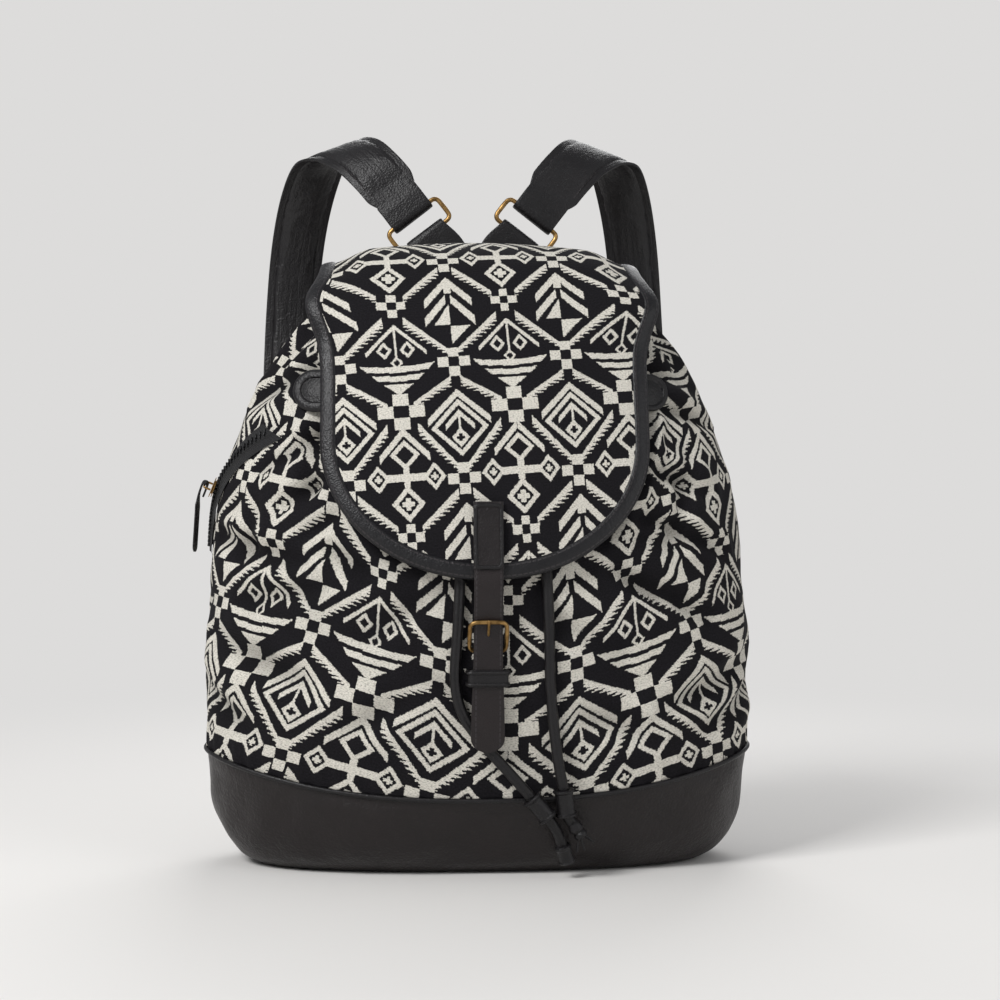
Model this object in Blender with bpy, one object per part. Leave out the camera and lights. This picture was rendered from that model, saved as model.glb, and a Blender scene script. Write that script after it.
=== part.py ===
"""Rucksack: canvas body with a gathered mouth, leather base, buckled flap and shoulder straps.

Metres, +Z up. The flap faces -Y and the shoulder straps stand behind the bag at +Y.
The origin is the middle of the flat bottom.
"""
import math

import bmesh
import bpy
from mathutils import Vector

# Overall form of the bag
BAG_HEIGHT = 0.370
BAG_HALF_WIDTH = 0.179
BAG_FRONT_DEPTH = 0.096
BAG_BACK_DEPTH = 0.072
FRONT_ROUNDNESS = 2.4
BACK_ROUNDNESS = 3.4
# Rows of height, half width, front depth and back depth, as shares of the four sizes above
FORM_ROWS = (
    (0.000, 0.827, 0.646, 0.667), (0.016, 0.883, 0.729, 0.764), (0.049, 0.939, 0.813, 0.861),
    (0.097, 0.975, 0.875, 0.917), (0.203, 0.997, 0.948, 0.972), (0.386, 1.000, 1.000, 1.000),
    (0.530, 0.983, 0.990, 1.000), (0.657, 0.950, 0.938, 0.972), (0.746, 0.894, 0.865, 0.917),
    (0.835, 0.821, 0.771, 0.847), (0.908, 0.732, 0.667, 0.778), (0.968, 0.626, 0.563, 0.694),
    (1.000, 0.559, 0.500, 0.639),
)
GAP = 0.0003
WALL = 0.003
AROUND = 64

# Gathers of the mouth
GATHERS = 16
GATHER_START = BAG_HEIGHT - 0.085
GATHER_DEPTH = 0.011

# Leather base
BASE_THICKNESS = 0.004
SEAM_FRONT = 0.048
SEAM_SIDE = 0.074
SEAM_BACK = 0.060
WELT_RADIUS = 0.0012

# Flap
FLAP_HALF_WIDTH = 0.096
FLAP_THICKNESS = 0.0025
FLAP_LIFT = 0.0115
FLAP_TIP = 0.192
FLAP_ROUND_START = FLAP_TIP + 0.080
FLAP_BACK_HEIGHT = BAG_HEIGHT - 0.025
FLAP_TURN = BAG_HEIGHT - 0.035
FLAP_BROW = BAG_HEIGHT - 0.007
FLAP_CREST = 0.0345
FLAP_SIDE_DROOP = 0.014
BINDING_WIDTH = 0.008
BINDING_THICKNESS = 0.005

# Closure strap and its buckle
STRAP_TOP = FLAP_TIP + 0.042
STRAP_WIDTH = 0.018
STRAP_TAIL_WIDTH = 0.021
STRAP_THICKNESS = 0.0025
STRAP_BODY_LIFT = 0.0107
BUCKLE_LOW = FLAP_TIP - 0.0495
BUCKLE_HIGH = BUCKLE_LOW + 0.0185
BUCKLE_WIDTH = 0.026
BUCKLE_WIRE = 0.0015
PRONG_RADIUS = 0.0009
TAB_WIDTH = 0.015
TAB_THICKNESS = 0.0015
KEEPER_HEIGHT = BUCKLE_LOW - 0.0165
TAB_LOW = KEEPER_HEIGHT - 0.026
STRAP_TIP = KEEPER_HEIGHT - 0.046
PRONG_SLOT_UP = 0.0108
PRONG_SLOT_OUT = 0.0010
PRONG_SLOT_LENGTH = 0.0125
PRONG_SLOT_DEPTH = 0.0120
PRONG_SLOT_PLAY = 0.0014
KEEPER_LENGTH = 0.011
KEEPER_WALL = 0.0012

# Round-ended leather tabs beside the flap
SIDE_TAB_HEIGHT = BAG_HEIGHT - 0.066
SIDE_TAB_INNER = 0.082
SIDE_TAB_OUTER = 0.118
SIDE_TAB_WIDTH = 0.024
SIDE_TAB_THICKNESS = 0.003

# Side pocket zip: depth and height of its two ends and of the slider at rest
ZIP_START = (-0.048, 0.278)
ZIP_SLIDER = (-0.018, 0.243)
ZIP_END = (0.012, 0.203)
ZIP_TAPE_WIDTH = 0.022
ZIP_TAPE_THICKNESS = 0.0012
ZIP_TEETH_WIDTH = 0.0045
ZIP_TEETH_HEIGHT = 0.0012
SLIDER_LENGTH = 0.011
SLIDER_WIDTH = 0.008
SLIDER_THICKNESS = 0.0018
SLIDER_CLEARANCE = 0.0012
SLIDER_TOP_EASE = 0.0016
BAIL_WIRE = 0.0008
BAIL_HEIGHT = 0.0046
PULLER_LENGTH = 0.044
PULLER_WIDTH = 0.0085
PULLER_NECK = 0.0042
PULLER_THICKNESS = 0.0024

# Drawcords
CORD_RADIUS = 0.003
SLEEVE_RADIUS = 0.0052
SLEEVE_LENGTH = 0.014
CORD_END_RADIUS = 0.0045
CORD_END_LENGTH = 0.012
ROUTE_HEIGHT = 0.370
GUIDE_HEIGHT = BAG_HEIGHT * 0.335 / ROUTE_HEIGHT
GUIDE_LENGTH = 0.010
GUIDE_WALL = 0.0013
# Points of each drawcord on a bag ROUTE_HEIGHT high: distance from the middle, lift from the front, height
LEFT_CORD = (
    (-0.0220, 0.0037, 0.342), (-0.0220, 0.0037, 0.325), (-0.0213, 0.0038, 0.300), (-0.0200, 0.0034, 0.265),
    (-0.0180, 0.0034, 0.228), (-0.0170, 0.0034, 0.190), (-0.0185, 0.0034, 0.155), (-0.0200, 0.0034, 0.125),
    (-0.0160, 0.0038, 0.105), (-0.0045, 0.0048, 0.087), (0.0120, 0.0068, 0.0685), (0.0275, 0.0090, 0.0510),
    (0.0375, 0.0110, 0.0390), (0.0440, 0.0120, 0.0290), (0.0475, 0.0125, 0.0195),
)
RIGHT_CORD = (
    (0.0220, 0.0037, 0.342), (0.0225, 0.0037, 0.325), (0.0255, 0.0038, 0.295), (0.0300, 0.0034, 0.258),
    (0.0345, 0.0034, 0.222), (0.0370, 0.0034, 0.190), (0.0385, 0.0034, 0.155), (0.0392, 0.0036, 0.124),
    (0.0415, 0.0050, 0.095), (0.0445, 0.0072, 0.072), (0.0475, 0.0092, 0.056), (0.0500, 0.0110, 0.040),
    (0.0545, 0.0122, 0.0330),
)
LEFT_SLEEVE_AT = 11.5
RIGHT_SLEEVE_AT = 10.5

# Shoulder straps; the left one mirrors the right one
LOOP_WIDTH = 0.030
LOOP_THICKNESS = 0.002
LOOP_BASE_OUT = 0.026
LOOP_BASE_HEIGHT = FLAP_BACK_HEIGHT + 0.007
RING_RISE = 0.0745
RING_CENTRE = (0.0372, 0.0612, LOOP_BASE_HEIGHT + RING_RISE)
RING_TILT = math.radians(38.0)
RING_HALF_WIDTH = 0.0215
RING_HALF_HEIGHT = 0.0090
RING_WIRE = 0.0018
PAD_WIDTH = 0.038
PAD_THICKNESS = 0.008
TONGUE_THICKNESS = 0.0024
# Points of the padded strap: place across, depth, and rise over the ring's centre
PAD_ROUTE = (
    (0.0495, 0.0625, 0.0160), (0.0560, 0.0650, 0.0250), (0.0670, 0.0700, 0.0385), (0.0800, 0.0820, 0.0515),
    (0.0940, 0.1010, 0.0570), (0.1070, 0.1230, 0.0495), (0.1170, 0.1420, 0.0265), (0.1240, 0.1550, -0.0085),
    (0.1280, 0.1605, -0.0545), (0.1300, 0.1575, -0.1045), (0.1310, 0.1480, -0.1515), (0.1312, 0.1340, -0.1945),
)
WEBBING_WIDTH = 0.025
WEBBING_THICKNESS = 0.0016
# Points of the webbing: place across, depth, and share of the way up from the anchor to the pad's end
WEBBING_ROUTE = ((0.1320, 0.1145, 0.776), (0.1340, 0.0980, 0.474), (0.1370, 0.0820, 0.197))
ANCHOR_OUT = 0.139
ANCHOR_LOW = 0.034
ANCHOR_HIGH = 0.080
ANCHOR_WIDTH = 0.030
ANCHOR_THICKNESS = 0.0025
ADJUSTER_AT = 0.42
ADJUSTER_BAR = 0.0016
ADJUSTER_HALF_HEIGHT = 0.0115

BLACK_LEATHER = ((0.018, 0.018, 0.021), 0.42, 0.0)
CANVAS = ((0.030, 0.029, 0.034), 0.90, 0.0)
BRASS = ((0.46, 0.32, 0.13), 0.38, 1.0)
BLACK_ZIP = ((0.012, 0.012, 0.013), 0.50, 0.0)
BLACK_WEBBING = ((0.016, 0.016, 0.018), 0.80, 0.0)


def clear_scene():
    """Remove every object, so the bag is built in an empty scene."""
    for old in list(bpy.data.objects):
        bpy.data.objects.remove(old, do_unlink=True)


def finish_material(name, finish):
    """A Principled material from a colour, a roughness and a metallic value."""
    material = bpy.data.materials.new(name)
    material.use_nodes = True
    shader = material.node_tree.nodes["Principled BSDF"]
    shader.inputs["Base Color"].default_value = (*finish[0], 1.0)
    shader.inputs["Roughness"].default_value = finish[1]
    shader.inputs["Metallic"].default_value = finish[2]
    return material


def add_object(name, vertices, faces, finish):
    """A closed mesh object with its faces pointing out, shaded smooth but for sharp edges."""
    mesh = bpy.data.meshes.new(name)
    mesh.from_pydata([tuple(v) for v in vertices], [], faces)
    shape = bmesh.new()
    shape.from_mesh(mesh)
    bmesh.ops.recalc_face_normals(shape, faces=shape.faces)
    shape.to_mesh(mesh)
    shape.free()
    mesh.shade_smooth()
    mesh.set_sharp_from_angle(angle=math.radians(35.0))
    mesh.materials.append(finish_material(name, finish))
    piece = bpy.data.objects.new(name, mesh)
    bpy.context.scene.collection.objects.link(piece)
    return piece


def cut(piece, centre, axes, sizes):
    """Cut a slot with a box that is centred at a point and lies along three axes."""
    corners = []
    for a, b, c in ((x, y, z) for x in (-0.5, 0.5) for y in (-0.5, 0.5) for z in (-0.5, 0.5)):
        corners.append(centre + axes[0] * (a * sizes[0]) + axes[1] * (b * sizes[1]) + axes[2] * (c * sizes[2]))
    faces = [(0, 1, 3, 2), (4, 6, 7, 5), (0, 4, 5, 1), (2, 3, 7, 6), (0, 2, 6, 4), (1, 5, 7, 3)]
    cutter = add_object(piece.name + "_cutter", corners, faces, BLACK_ZIP)
    cutter.hide_render = True
    cutter.display_type = "WIRE"
    slot = piece.modifiers.new("slot", "BOOLEAN")
    slot.operation = "DIFFERENCE"
    slot.solver = "EXACT"
    slot.object = cutter


def smooth_between(low, high, value):
    """0 at low, 1 at high, with a soft start and end."""
    share = min(1.0, max(0.0, (value - low) / (high - low)))
    return share * share * (3.0 - 2.0 * share)


def table_value(rows, at, column):
    """Smooth value of a column of rows whose first column rises."""
    last = len(rows) - 1
    at = min(rows[last][0], max(rows[0][0], at))
    k = max(i for i in range(last) if rows[i][0] <= at)

    def slope(i):
        low, high = max(i - 1, 0), min(i + 1, last)
        return (rows[high][column] - rows[low][column]) / (rows[high][0] - rows[low][0])

    span = rows[k + 1][0] - rows[k][0]
    t = (at - rows[k][0]) / span
    h1 = (1.0 + 2.0 * t) * (1.0 - t) ** 2
    h2 = t * (1.0 - t) ** 2
    h3 = t * t * (3.0 - 2.0 * t)
    h4 = t * t * (t - 1.0)
    return h1 * rows[k][column] + h2 * span * slope(k) + h3 * rows[k + 1][column] + h4 * span * slope(k + 1)


def form(z):
    """Half width, front depth and back depth of the bag at a height."""
    share = z / BAG_HEIGHT
    return (BAG_HALF_WIDTH * table_value(FORM_ROWS, share, 1), BAG_FRONT_DEPTH * table_value(FORM_ROWS, share, 2),
            BAG_BACK_DEPTH * table_value(FORM_ROWS, share, 3))


def signed_power(value, power):
    """Power of the size of a value, with its sign kept."""
    return math.copysign(abs(value) ** power, value)


def ring_point(angle, z, inset=0.0, gathered=False):
    """Point of the bag's skin at an angle around it, which is 0 at +X and a quarter turn at +Y."""
    half_width, front, back = form(z)
    depth, roundness = (back, BACK_ROUNDNESS) if math.sin(angle) > 0 else (front, FRONT_ROUNDNESS)
    shrink = 1.0
    if gathered:
        pull = GATHER_DEPTH * smooth_between(GATHER_START, BAG_HEIGHT, z)
        shrink = 1.0 - pull * (0.5 + 0.5 * math.cos(GATHERS * angle)) / half_width * 1.6
    x = (half_width - inset) * signed_power(math.cos(angle), 2.0 / roundness) * shrink
    y = (depth - inset) * signed_power(math.sin(angle), 2.0 / roundness) * shrink
    return Vector((x, y, z))


def front_y(x, z):
    """Depth of the bag's front at a place across it and a height."""
    half_width, front, _ = form(z)
    inside = max(0.0, 1.0 - (abs(x) / half_width) ** FRONT_ROUNDNESS)
    return -front * inside ** (1.0 / FRONT_ROUNDNESS)


def back_y(x, z):
    """Depth of the bag's back at a place across it and a height."""
    half_width, _, back = form(z)
    inside = max(0.0, 1.0 - (abs(x) / half_width) ** BACK_ROUNDNESS)
    return back * inside ** (1.0 / BACK_ROUNDNESS)


def left_x(y, z):
    """Place of the bag's left side at a depth and a height."""
    half_width, front, back = form(z)
    depth, roundness = (back, BACK_ROUNDNESS) if y > 0 else (front, FRONT_ROUNDNESS)
    return -half_width * max(0.0, 1.0 - (abs(y) / depth) ** roundness) ** (1.0 / roundness)


def lifted(point, normal, lift):
    """A point moved along a normal."""
    return point + normal * lift


def front_point(x, z, lift):
    """Point over the bag's front, lifted square to the skin."""
    step = 0.001
    here = Vector((x, front_y(x, z), z))
    across = Vector((x + step, front_y(x + step, z), z)) - here
    up = Vector((x, front_y(x, z + step), z + step)) - here
    return lifted(here, across.cross(up).normalized(), lift)


def left_point(y, z, lift):
    """Point over the bag's left side, and the skin's normal there."""
    step = 0.001
    here = Vector((left_x(y, z), y, z))
    along = Vector((left_x(y + step, z), y + step, z)) - here
    up = Vector((left_x(y, z + step), y, z + step)) - here
    normal = up.cross(along).normalized()
    return lifted(here, normal, lift), normal


def back_point(x, z, lift):
    """Point over the bag's back, lifted square to the skin."""
    step = 0.001
    here = Vector((x, back_y(x, z), z))
    across = Vector((x + step, back_y(x + step, z), z)) - here
    up = Vector((x, back_y(x, z + step), z + step)) - here
    return lifted(here, up.cross(across).normalized(), lift)


def smooth_route(points, steps):
    """Points on a smooth curve through the given ones, with some steps between each two."""
    ends = [points[0] * 2.0 - points[1]] + list(points) + [points[-1] * 2.0 - points[-2]]
    route = []
    for k in range(len(points) - 1):
        a, b, c, d = ends[k:k + 4]
        for s in range(steps):
            t = s / steps
            route.append(0.5 * ((2.0 * b) + (c - a) * t + (2.0 * a - 5.0 * b + 4.0 * c - d) * t * t
                                + (3.0 * b - a - 3.0 * c + d) * t ** 3))
    return route + [points[-1].copy()]


def tangents(route, closed=False):
    """Unit direction of a route at each of its points."""
    count = len(route)
    result = []
    for k in range(count):
        before = route[(k - 1) % count] if closed or k > 0 else route[k]
        after = route[(k + 1) % count] if closed or k < count - 1 else route[k]
        result.append((after - before).normalized())
    return result


def sweep(name, route, across, section, finish, closed=False):
    """Sweep a section along a route.

    across gives the direction of the section's first axis at each point of the route, and
    section(k) gives the outline there as pairs along that axis and along the normal.
    """
    directions = tangents(route, closed)
    vertices, faces = [], []
    count = len(route)
    sides = len(section(0))
    for k in range(count):
        wide = (across[k] - directions[k] * across[k].dot(directions[k])).normalized()
        normal = directions[k].cross(wide)
        vertices += [route[k] + wide * a + normal * b for a, b in section(k)]
    for k in range(count if closed else count - 1):
        low, high = k * sides, ((k + 1) % count) * sides
        for s in range(sides):
            t = (s + 1) % sides
            faces.append((low + s, low + t, high + t, high + s))
    if not closed:
        faces.append(tuple(range(sides)))
        faces.append(tuple(range((count - 1) * sides, count * sides)))
    return add_object(name, vertices, faces, finish)


def flat_section(width, thickness):
    """Outline of a strip with its corners taken off."""
    a, b = width / 2.0, thickness / 2.0
    c = min(a, b) * 0.5
    return [(-a + c, -b), (a - c, -b), (a, -b + c), (a, b - c), (a - c, b), (-a + c, b), (-a, b - c), (-a, -b + c)]


def round_section(radius, sides):
    """Outline of a round wire or cord."""
    return [(radius * math.cos(math.tau * s / sides), radius * math.sin(math.tau * s / sides)) for s in range(sides)]


def slab(name, grid, normals, thickness, finish):
    """A sheet with a thickness, from rows of points in its middle and their normals."""
    rows, columns = len(grid), len(grid[0])
    half = thickness / 2.0
    vertices = []
    for side in (1.0, -1.0):
        for r in range(rows):
            vertices += [grid[r][c] + normals[r][c] * (side * half) for c in range(columns)]
    layer = rows * columns
    faces = []
    for r in range(rows - 1):
        for c in range(columns - 1):
            k = r * columns + c
            faces.append((k, k + 1, k + columns + 1, k + columns))
            faces.append((k + layer, k + columns + layer, k + columns + 1 + layer, k + 1 + layer))
    rim = [c for c in range(columns)] + [r * columns + columns - 1 for r in range(1, rows)]
    rim += [(rows - 1) * columns + c for c in range(columns - 2, -1, -1)] + [r * columns for r in range(rows - 2, 0, -1)]
    for k, here in enumerate(rim):
        after = rim[(k + 1) % len(rim)]
        faces.append((here, here + layer, after + layer, after))
    return add_object(name, vertices, faces, finish)


def grid_normals(grid):
    """Normals of rows of points, from their neighbours."""
    rows, columns = len(grid), len(grid[0])
    normals = []
    for r in range(rows):
        line = []
        for c in range(columns):
            across = grid[r][min(c + 1, columns - 1)] - grid[r][max(c - 1, 0)]
            along = grid[min(r + 1, rows - 1)][c] - grid[max(r - 1, 0)][c]
            line.append(across.cross(along).normalized())
        normals.append(line)
    return normals


def seam_height(angle):
    """Height of the seam between canvas and leather: low in front, higher at the sides."""
    middle = SEAM_FRONT if math.sin(angle) < 0 else SEAM_BACK
    return middle + (SEAM_SIDE - middle) * math.cos(angle) ** 2


def ring_angles():
    """Angles of the points around the bag."""
    return [math.tau * k / AROUND for k in range(AROUND)]


def join_rings(rings):
    """Faces between rings of equal length, each ring closed on itself."""
    size = len(rings[0])
    faces = []
    for r in range(len(rings) - 1):
        for k in range(size):
            t = (k + 1) % size
            faces.append((r * size + k, r * size + t, (r + 1) * size + t, (r + 1) * size + k))
    return faces


def build_base():
    """Leather bottom and low wall, as one open dish."""
    rings = []
    for share in (0.0, 0.10, 0.30, 0.62, 1.0):
        rings.append([ring_point(a, share * seam_height(a)) for a in ring_angles()])
    for share in (1.0, 0.55, 0.0):
        rings.append([ring_point(a, BASE_THICKNESS + share * (seam_height(a) - BASE_THICKNESS), inset=WALL)
                      for a in ring_angles()])
    faces = join_rings(rings)
    faces.append(tuple(range(AROUND)))
    last = (len(rings) - 1) * AROUND
    faces.append(tuple(range(last, last + AROUND)))
    add_object("leather_base", [p for ring in rings for p in ring], faces, BLACK_LEATHER)


def build_body():
    """Canvas body: an open tube from the seam to the gathered mouth."""
    outer, inner = [], []
    for share in (0.0, 0.10, 0.22, 0.36, 0.50, 0.62, 0.72, 0.80, 0.87, 0.93, 0.97, 1.0):
        heights = [seam_height(a) + GAP + share * (BAG_HEIGHT - seam_height(a) - GAP) for a in ring_angles()]
        outer.append([ring_point(a, z, gathered=True) for a, z in zip(ring_angles(), heights)])
    for share in (1.0, 0.93, 0.82, 0.66, 0.44, 0.20, 0.0):
        heights = [seam_height(a) + GAP + share * (BAG_HEIGHT - seam_height(a) - GAP) for a in ring_angles()]
        inner.append([ring_point(a, z, inset=WALL, gathered=True) for a, z in zip(ring_angles(), heights)])
    rings = outer + inner
    faces = join_rings(rings + [rings[0]])
    count = len(rings) * AROUND
    faces = [tuple(v % count for v in face) for face in faces]
    add_object("canvas_body", [p for ring in rings for p in ring], faces, CANVAS)


def build_welt():
    """Thin piping cord that covers the seam all round."""
    route = []
    for angle in ring_angles():
        z = seam_height(angle)
        here = ring_point(angle, z)
        out = (ring_point(angle, z, inset=-0.001) - here).normalized()
        route.append(here + out * (WELT_RADIUS + 3.0 * GAP))
    up = [Vector((0.0, 0.0, 1.0))] * len(route)
    sweep("seam_welt", route, up, lambda k: round_section(WELT_RADIUS, 6), BLACK_LEATHER, closed=True)


def flap_back_middle():
    """Depth of the flap's middle where it is sewn to the back."""
    return back_y(0.0, FLAP_BACK_HEIGHT) + 3.0 * GAP + BINDING_THICKNESS / 2.0


def flap_middle():
    """Middle line of the flap from the back over the mouth and down the front, as (y, z) points."""
    behind = flap_back_middle()
    rim_back = behind - 0.0030
    crest = BAG_HEIGHT + FLAP_CREST
    points = [Vector((0.0, behind, FLAP_BACK_HEIGHT)), Vector((0.0, rim_back, BAG_HEIGHT + 0.002)),
              Vector((0.0, 0.038, crest - 0.010)), Vector((0.0, 0.010, crest)),
              Vector((0.0, -0.022, crest - 0.002)), Vector((0.0, -0.048, crest - 0.017)),
              Vector((0.0, -0.065, FLAP_BROW))]
    for share in (0.0, 0.25, 0.5, 0.75, 1.0):
        z = FLAP_TURN + (FLAP_TIP - FLAP_TURN) * share
        points.append(Vector((0.0, front_y(0.0, z) - FLAP_LIFT, z)))
    return smooth_route(points, 8)


def flap_point(middle, x):
    """Point of the flap beside its middle line: it follows the bag in front and droops at its sides on top."""
    on_front = smooth_between(0.030, -0.060, middle.y)
    on_back = smooth_between(0.010, 0.052, middle.y)
    level = min(middle.z, FLAP_TURN)
    front_drop = front_y(x, level) - front_y(0.0, level)
    back_drop = back_y(x, FLAP_BACK_HEIGHT) - back_y(0.0, FLAP_BACK_HEIGHT)
    droop = FLAP_SIDE_DROOP * (x / FLAP_HALF_WIDTH) ** 2 * (1.0 - on_front) * (1.0 - on_back)
    return Vector((x, middle.y + front_drop * on_front + back_drop * on_back, middle.z - droop))


def flap_rows():
    """Rows of points across the flap, from its back edge to its rounded tip."""
    line = flap_middle()
    straight = [p for p in line if p.z >= FLAP_ROUND_START or p.y > -0.05]
    rows = [(p, FLAP_HALF_WIDTH) for p in straight[::3]]
    for k in range(1, 10):
        turn = math.radians(85.0) * k / 9
        z = FLAP_ROUND_START - (FLAP_ROUND_START - FLAP_TIP) * math.sin(turn)
        rows.append((Vector((0.0, front_y(0.0, z) - FLAP_LIFT, z)), FLAP_HALF_WIDTH * math.cos(turn)))
    columns = [c / 6.0 for c in range(-6, 7)]
    return [[flap_point(p, half * c) for c in columns] for p, half in rows]


def build_flap():
    """Canvas flap and the leather binding that is folded round its edge."""
    grid = flap_rows()
    normals = grid_normals(grid)
    slab("flap", grid, normals, FLAP_THICKNESS, CANVAS)
    edge = [(row[0], line[0], row[0] - row[1]) for row, line in zip(grid, normals)]
    tip = [(p, n, grid[-1][k] - grid[-2][k]) for k, (p, n) in enumerate(zip(grid[-1], normals[-1]))]
    edge += tip[3:-3]
    edge += [(row[-1], line[-1], row[-1] - row[-2]) for row, line in reversed(list(zip(grid, normals)))]
    points = [e[0] for e in edge]
    directions = tangents(points)
    route, across = [], []
    for (point, normal, outward), direction in zip(edge, directions):
        side = direction.cross(normal).normalized()
        side = side if side.dot(outward) > 0 else -side
        route.append(point + side * (BINDING_WIDTH / 2.0 + GAP))
        across.append(side)
    sweep("flap_binding", route, across, lambda k: flat_section(BINDING_WIDTH, BINDING_THICKNESS),
          BLACK_LEATHER)


def strap_lift(z):
    """Distance of the closure strap's middle from the bag's front along Y."""
    on_flap = FLAP_LIFT + FLAP_THICKNESS / 2.0 + GAP + STRAP_THICKNESS / 2.0
    on_binding = FLAP_LIFT + BINDING_THICKNESS / 2.0 + 2.0 * GAP + STRAP_THICKNESS / 2.0
    rows = [(STRAP_TIP, STRAP_BODY_LIFT - 0.0004), (BUCKLE_LOW, STRAP_BODY_LIFT),
            (BUCKLE_HIGH, STRAP_BODY_LIFT + 0.0015), (FLAP_TIP - BINDING_WIDTH - 0.006, on_binding),
            (FLAP_TIP + 0.004, on_binding), (FLAP_TIP + 0.012, on_flap), (STRAP_TOP, on_flap)]
    return table_value(rows, z, 1)


def build_closure_strap():
    """Strap sewn on the flap, with a slot where the buckle's prong goes through it."""
    count = 26
    route = [Vector((0.0, 0.0, STRAP_TOP + (STRAP_TIP - STRAP_TOP) * k / count)) for k in range(count + 1)]
    for point in route:
        point.y = front_y(0.0, point.z) - strap_lift(point.z)

    def section(k):
        z = route[k].z
        width = STRAP_WIDTH + (STRAP_TAIL_WIDTH - STRAP_WIDTH) * smooth_between(BUCKLE_LOW, STRAP_TIP, z)
        ends = min(k, count - k)
        return flat_section(width * (0.72, 0.94)[ends] if ends < 2 else width, STRAP_THICKNESS)

    strap = sweep("closure_strap", route, [Vector((1.0, 0.0, 0.0))] * (count + 1), section, BLACK_LEATHER)
    low, _, up, out = buckle_frame_axes()
    crossing = low + up * PRONG_SLOT_UP + out * PRONG_SLOT_OUT
    slot = (PRONG_RADIUS * 2.0 + PRONG_SLOT_PLAY, PRONG_SLOT_LENGTH, PRONG_SLOT_DEPTH)
    cut(strap, crossing, (Vector((1.0, 0.0, 0.0)), up, out), slot)


def buckle_frame_axes():
    """Middle of the low bar, middle of the high bar, and the frame's up and outward directions."""
    leather = STRAP_THICKNESS / 2.0 + GAP + BUCKLE_WIRE
    low_lift = strap_lift(BUCKLE_LOW) - leather - TAB_THICKNESS - 2.0 * GAP
    high_lift = strap_lift(BUCKLE_HIGH) + leather + GAP
    low = Vector((0.0, front_y(0.0, BUCKLE_LOW) - low_lift, BUCKLE_LOW))
    high = Vector((0.0, front_y(0.0, BUCKLE_HIGH) - high_lift, BUCKLE_HIGH))
    up = (high - low).normalized()
    return low, high, up, Vector((1.0, 0.0, 0.0)).cross(up)


def rounded_frame(centre, wide, up, half_width, half_height, corner):
    """Closed route of a rectangular ring with round corners."""
    route = []
    for sx, sy, start in ((1, 1, 0), (-1, 1, 1), (-1, -1, 2), (1, -1, 3)):
        for k in range(4):
            turn = math.pi / 2.0 * (start + k / 3.0)
            a = sx * (half_width - corner) + corner * math.cos(turn)
            b = sy * (half_height - corner) + corner * math.sin(turn)
            route.append(centre + wide * a + up * b)
    return route


def build_buckle():
    """Buckle frame, prong, the tab that holds the frame, and the keeper over the strap's tail."""
    low, high, up, out = buckle_frame_axes()
    wide = Vector((1.0, 0.0, 0.0))
    half_height = (high - low).length / 2.0
    route = rounded_frame((low + high) / 2.0, wide, up, BUCKLE_WIDTH / 2.0 - BUCKLE_WIRE, half_height, 0.004)
    sweep("buckle_frame", route, [out] * len(route), lambda k: round_section(BUCKLE_WIRE, 8), BRASS,
          closed=True)

    reach = BUCKLE_WIRE + GAP + PRONG_RADIUS
    span = 2.0 * half_height
    bend = [(-0.9 * reach, 0.45 * reach), (-reach, -0.2 * reach), (-0.7 * reach, -0.8 * reach),
            (0.0, -reach - 0.0001), (0.0030, -0.0023), (span * 0.5, 0.0002), (span * 0.78, reach * 0.80),
            (span, reach + 0.0002), (span + 0.0028, reach * 0.8)]
    points = [low + up * a + out * b for a, b in bend]
    prong = smooth_route(points, 2)
    sweep("buckle_prong", prong, [wide] * len(prong), lambda k: round_section(PRONG_RADIUS, 8), BRASS)

    fold = BUCKLE_WIRE + GAP + TAB_THICKNESS / 2.0
    seat = GAP + TAB_THICKNESS / 2.0
    low_lift = front_y(0.0, BUCKLE_LOW) - low.y
    behind_keeper = 2.0 * GAP + KEEPER_WALL + TAB_THICKNESS / 2.0 + GAP
    rows = [(seat + GAP, TAB_LOW), (seat + 2.0 * GAP, TAB_LOW + 0.010), (behind_keeper, KEEPER_HEIGHT - 0.006),
            (behind_keeper, KEEPER_HEIGHT + 0.006), (low_lift - fold, BUCKLE_LOW - 0.001)]
    back = smooth_route([Vector((0.0, front_y(0.0, z) - lift, z)) for lift, z in rows], 3)
    turn = [low + Vector((0.0, -fold * math.sin(math.radians(a)), fold * math.cos(math.radians(a))))
            for a in (-60, -30, 0, 30, 60, 90)]
    over_tab = behind_keeper + TAB_THICKNESS
    front_rows = [(low_lift + fold - 0.0004, BUCKLE_LOW - 0.004), (over_tab + 0.0022, KEEPER_HEIGHT + 0.008),
                  (over_tab + GAP, KEEPER_HEIGHT)]
    front = [Vector((0.0, front_y(0.0, z) - lift, z)) for lift, z in front_rows]
    route = back + turn + front
    tab = sweep("buckle_tab", route, [wide] * len(route), lambda k: flat_section(TAB_WIDTH, TAB_THICKNESS),
                BLACK_LEATHER)
    cut(tab, low, (wide, up, out), (PRONG_RADIUS * 2.0 + 0.0016, 0.0110, 0.0110))

    inner_front = strap_lift(KEEPER_HEIGHT) + STRAP_THICKNESS / 2.0 + 2.5 * GAP
    near, far = 2.0 * GAP + KEEPER_WALL / 2.0, inner_front + KEEPER_WALL / 2.0
    centre = Vector((0.0, front_y(0.0, KEEPER_HEIGHT) - (near + far) / 2.0, KEEPER_HEIGHT))
    half_width = STRAP_TAIL_WIDTH / 2.0 + 2.0 * GAP + KEEPER_WALL
    route = rounded_frame(centre, wide, Vector((0.0, -1.0, 0.0)), half_width, (far - near) / 2.0, 0.0015)
    upright = [Vector((0.0, 0.0, 1.0))] * len(route)
    sweep("strap_keeper", route, upright, lambda k: flat_section(KEEPER_LENGTH, KEEPER_WALL), BLACK_LEATHER,
          closed=True)


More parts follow.
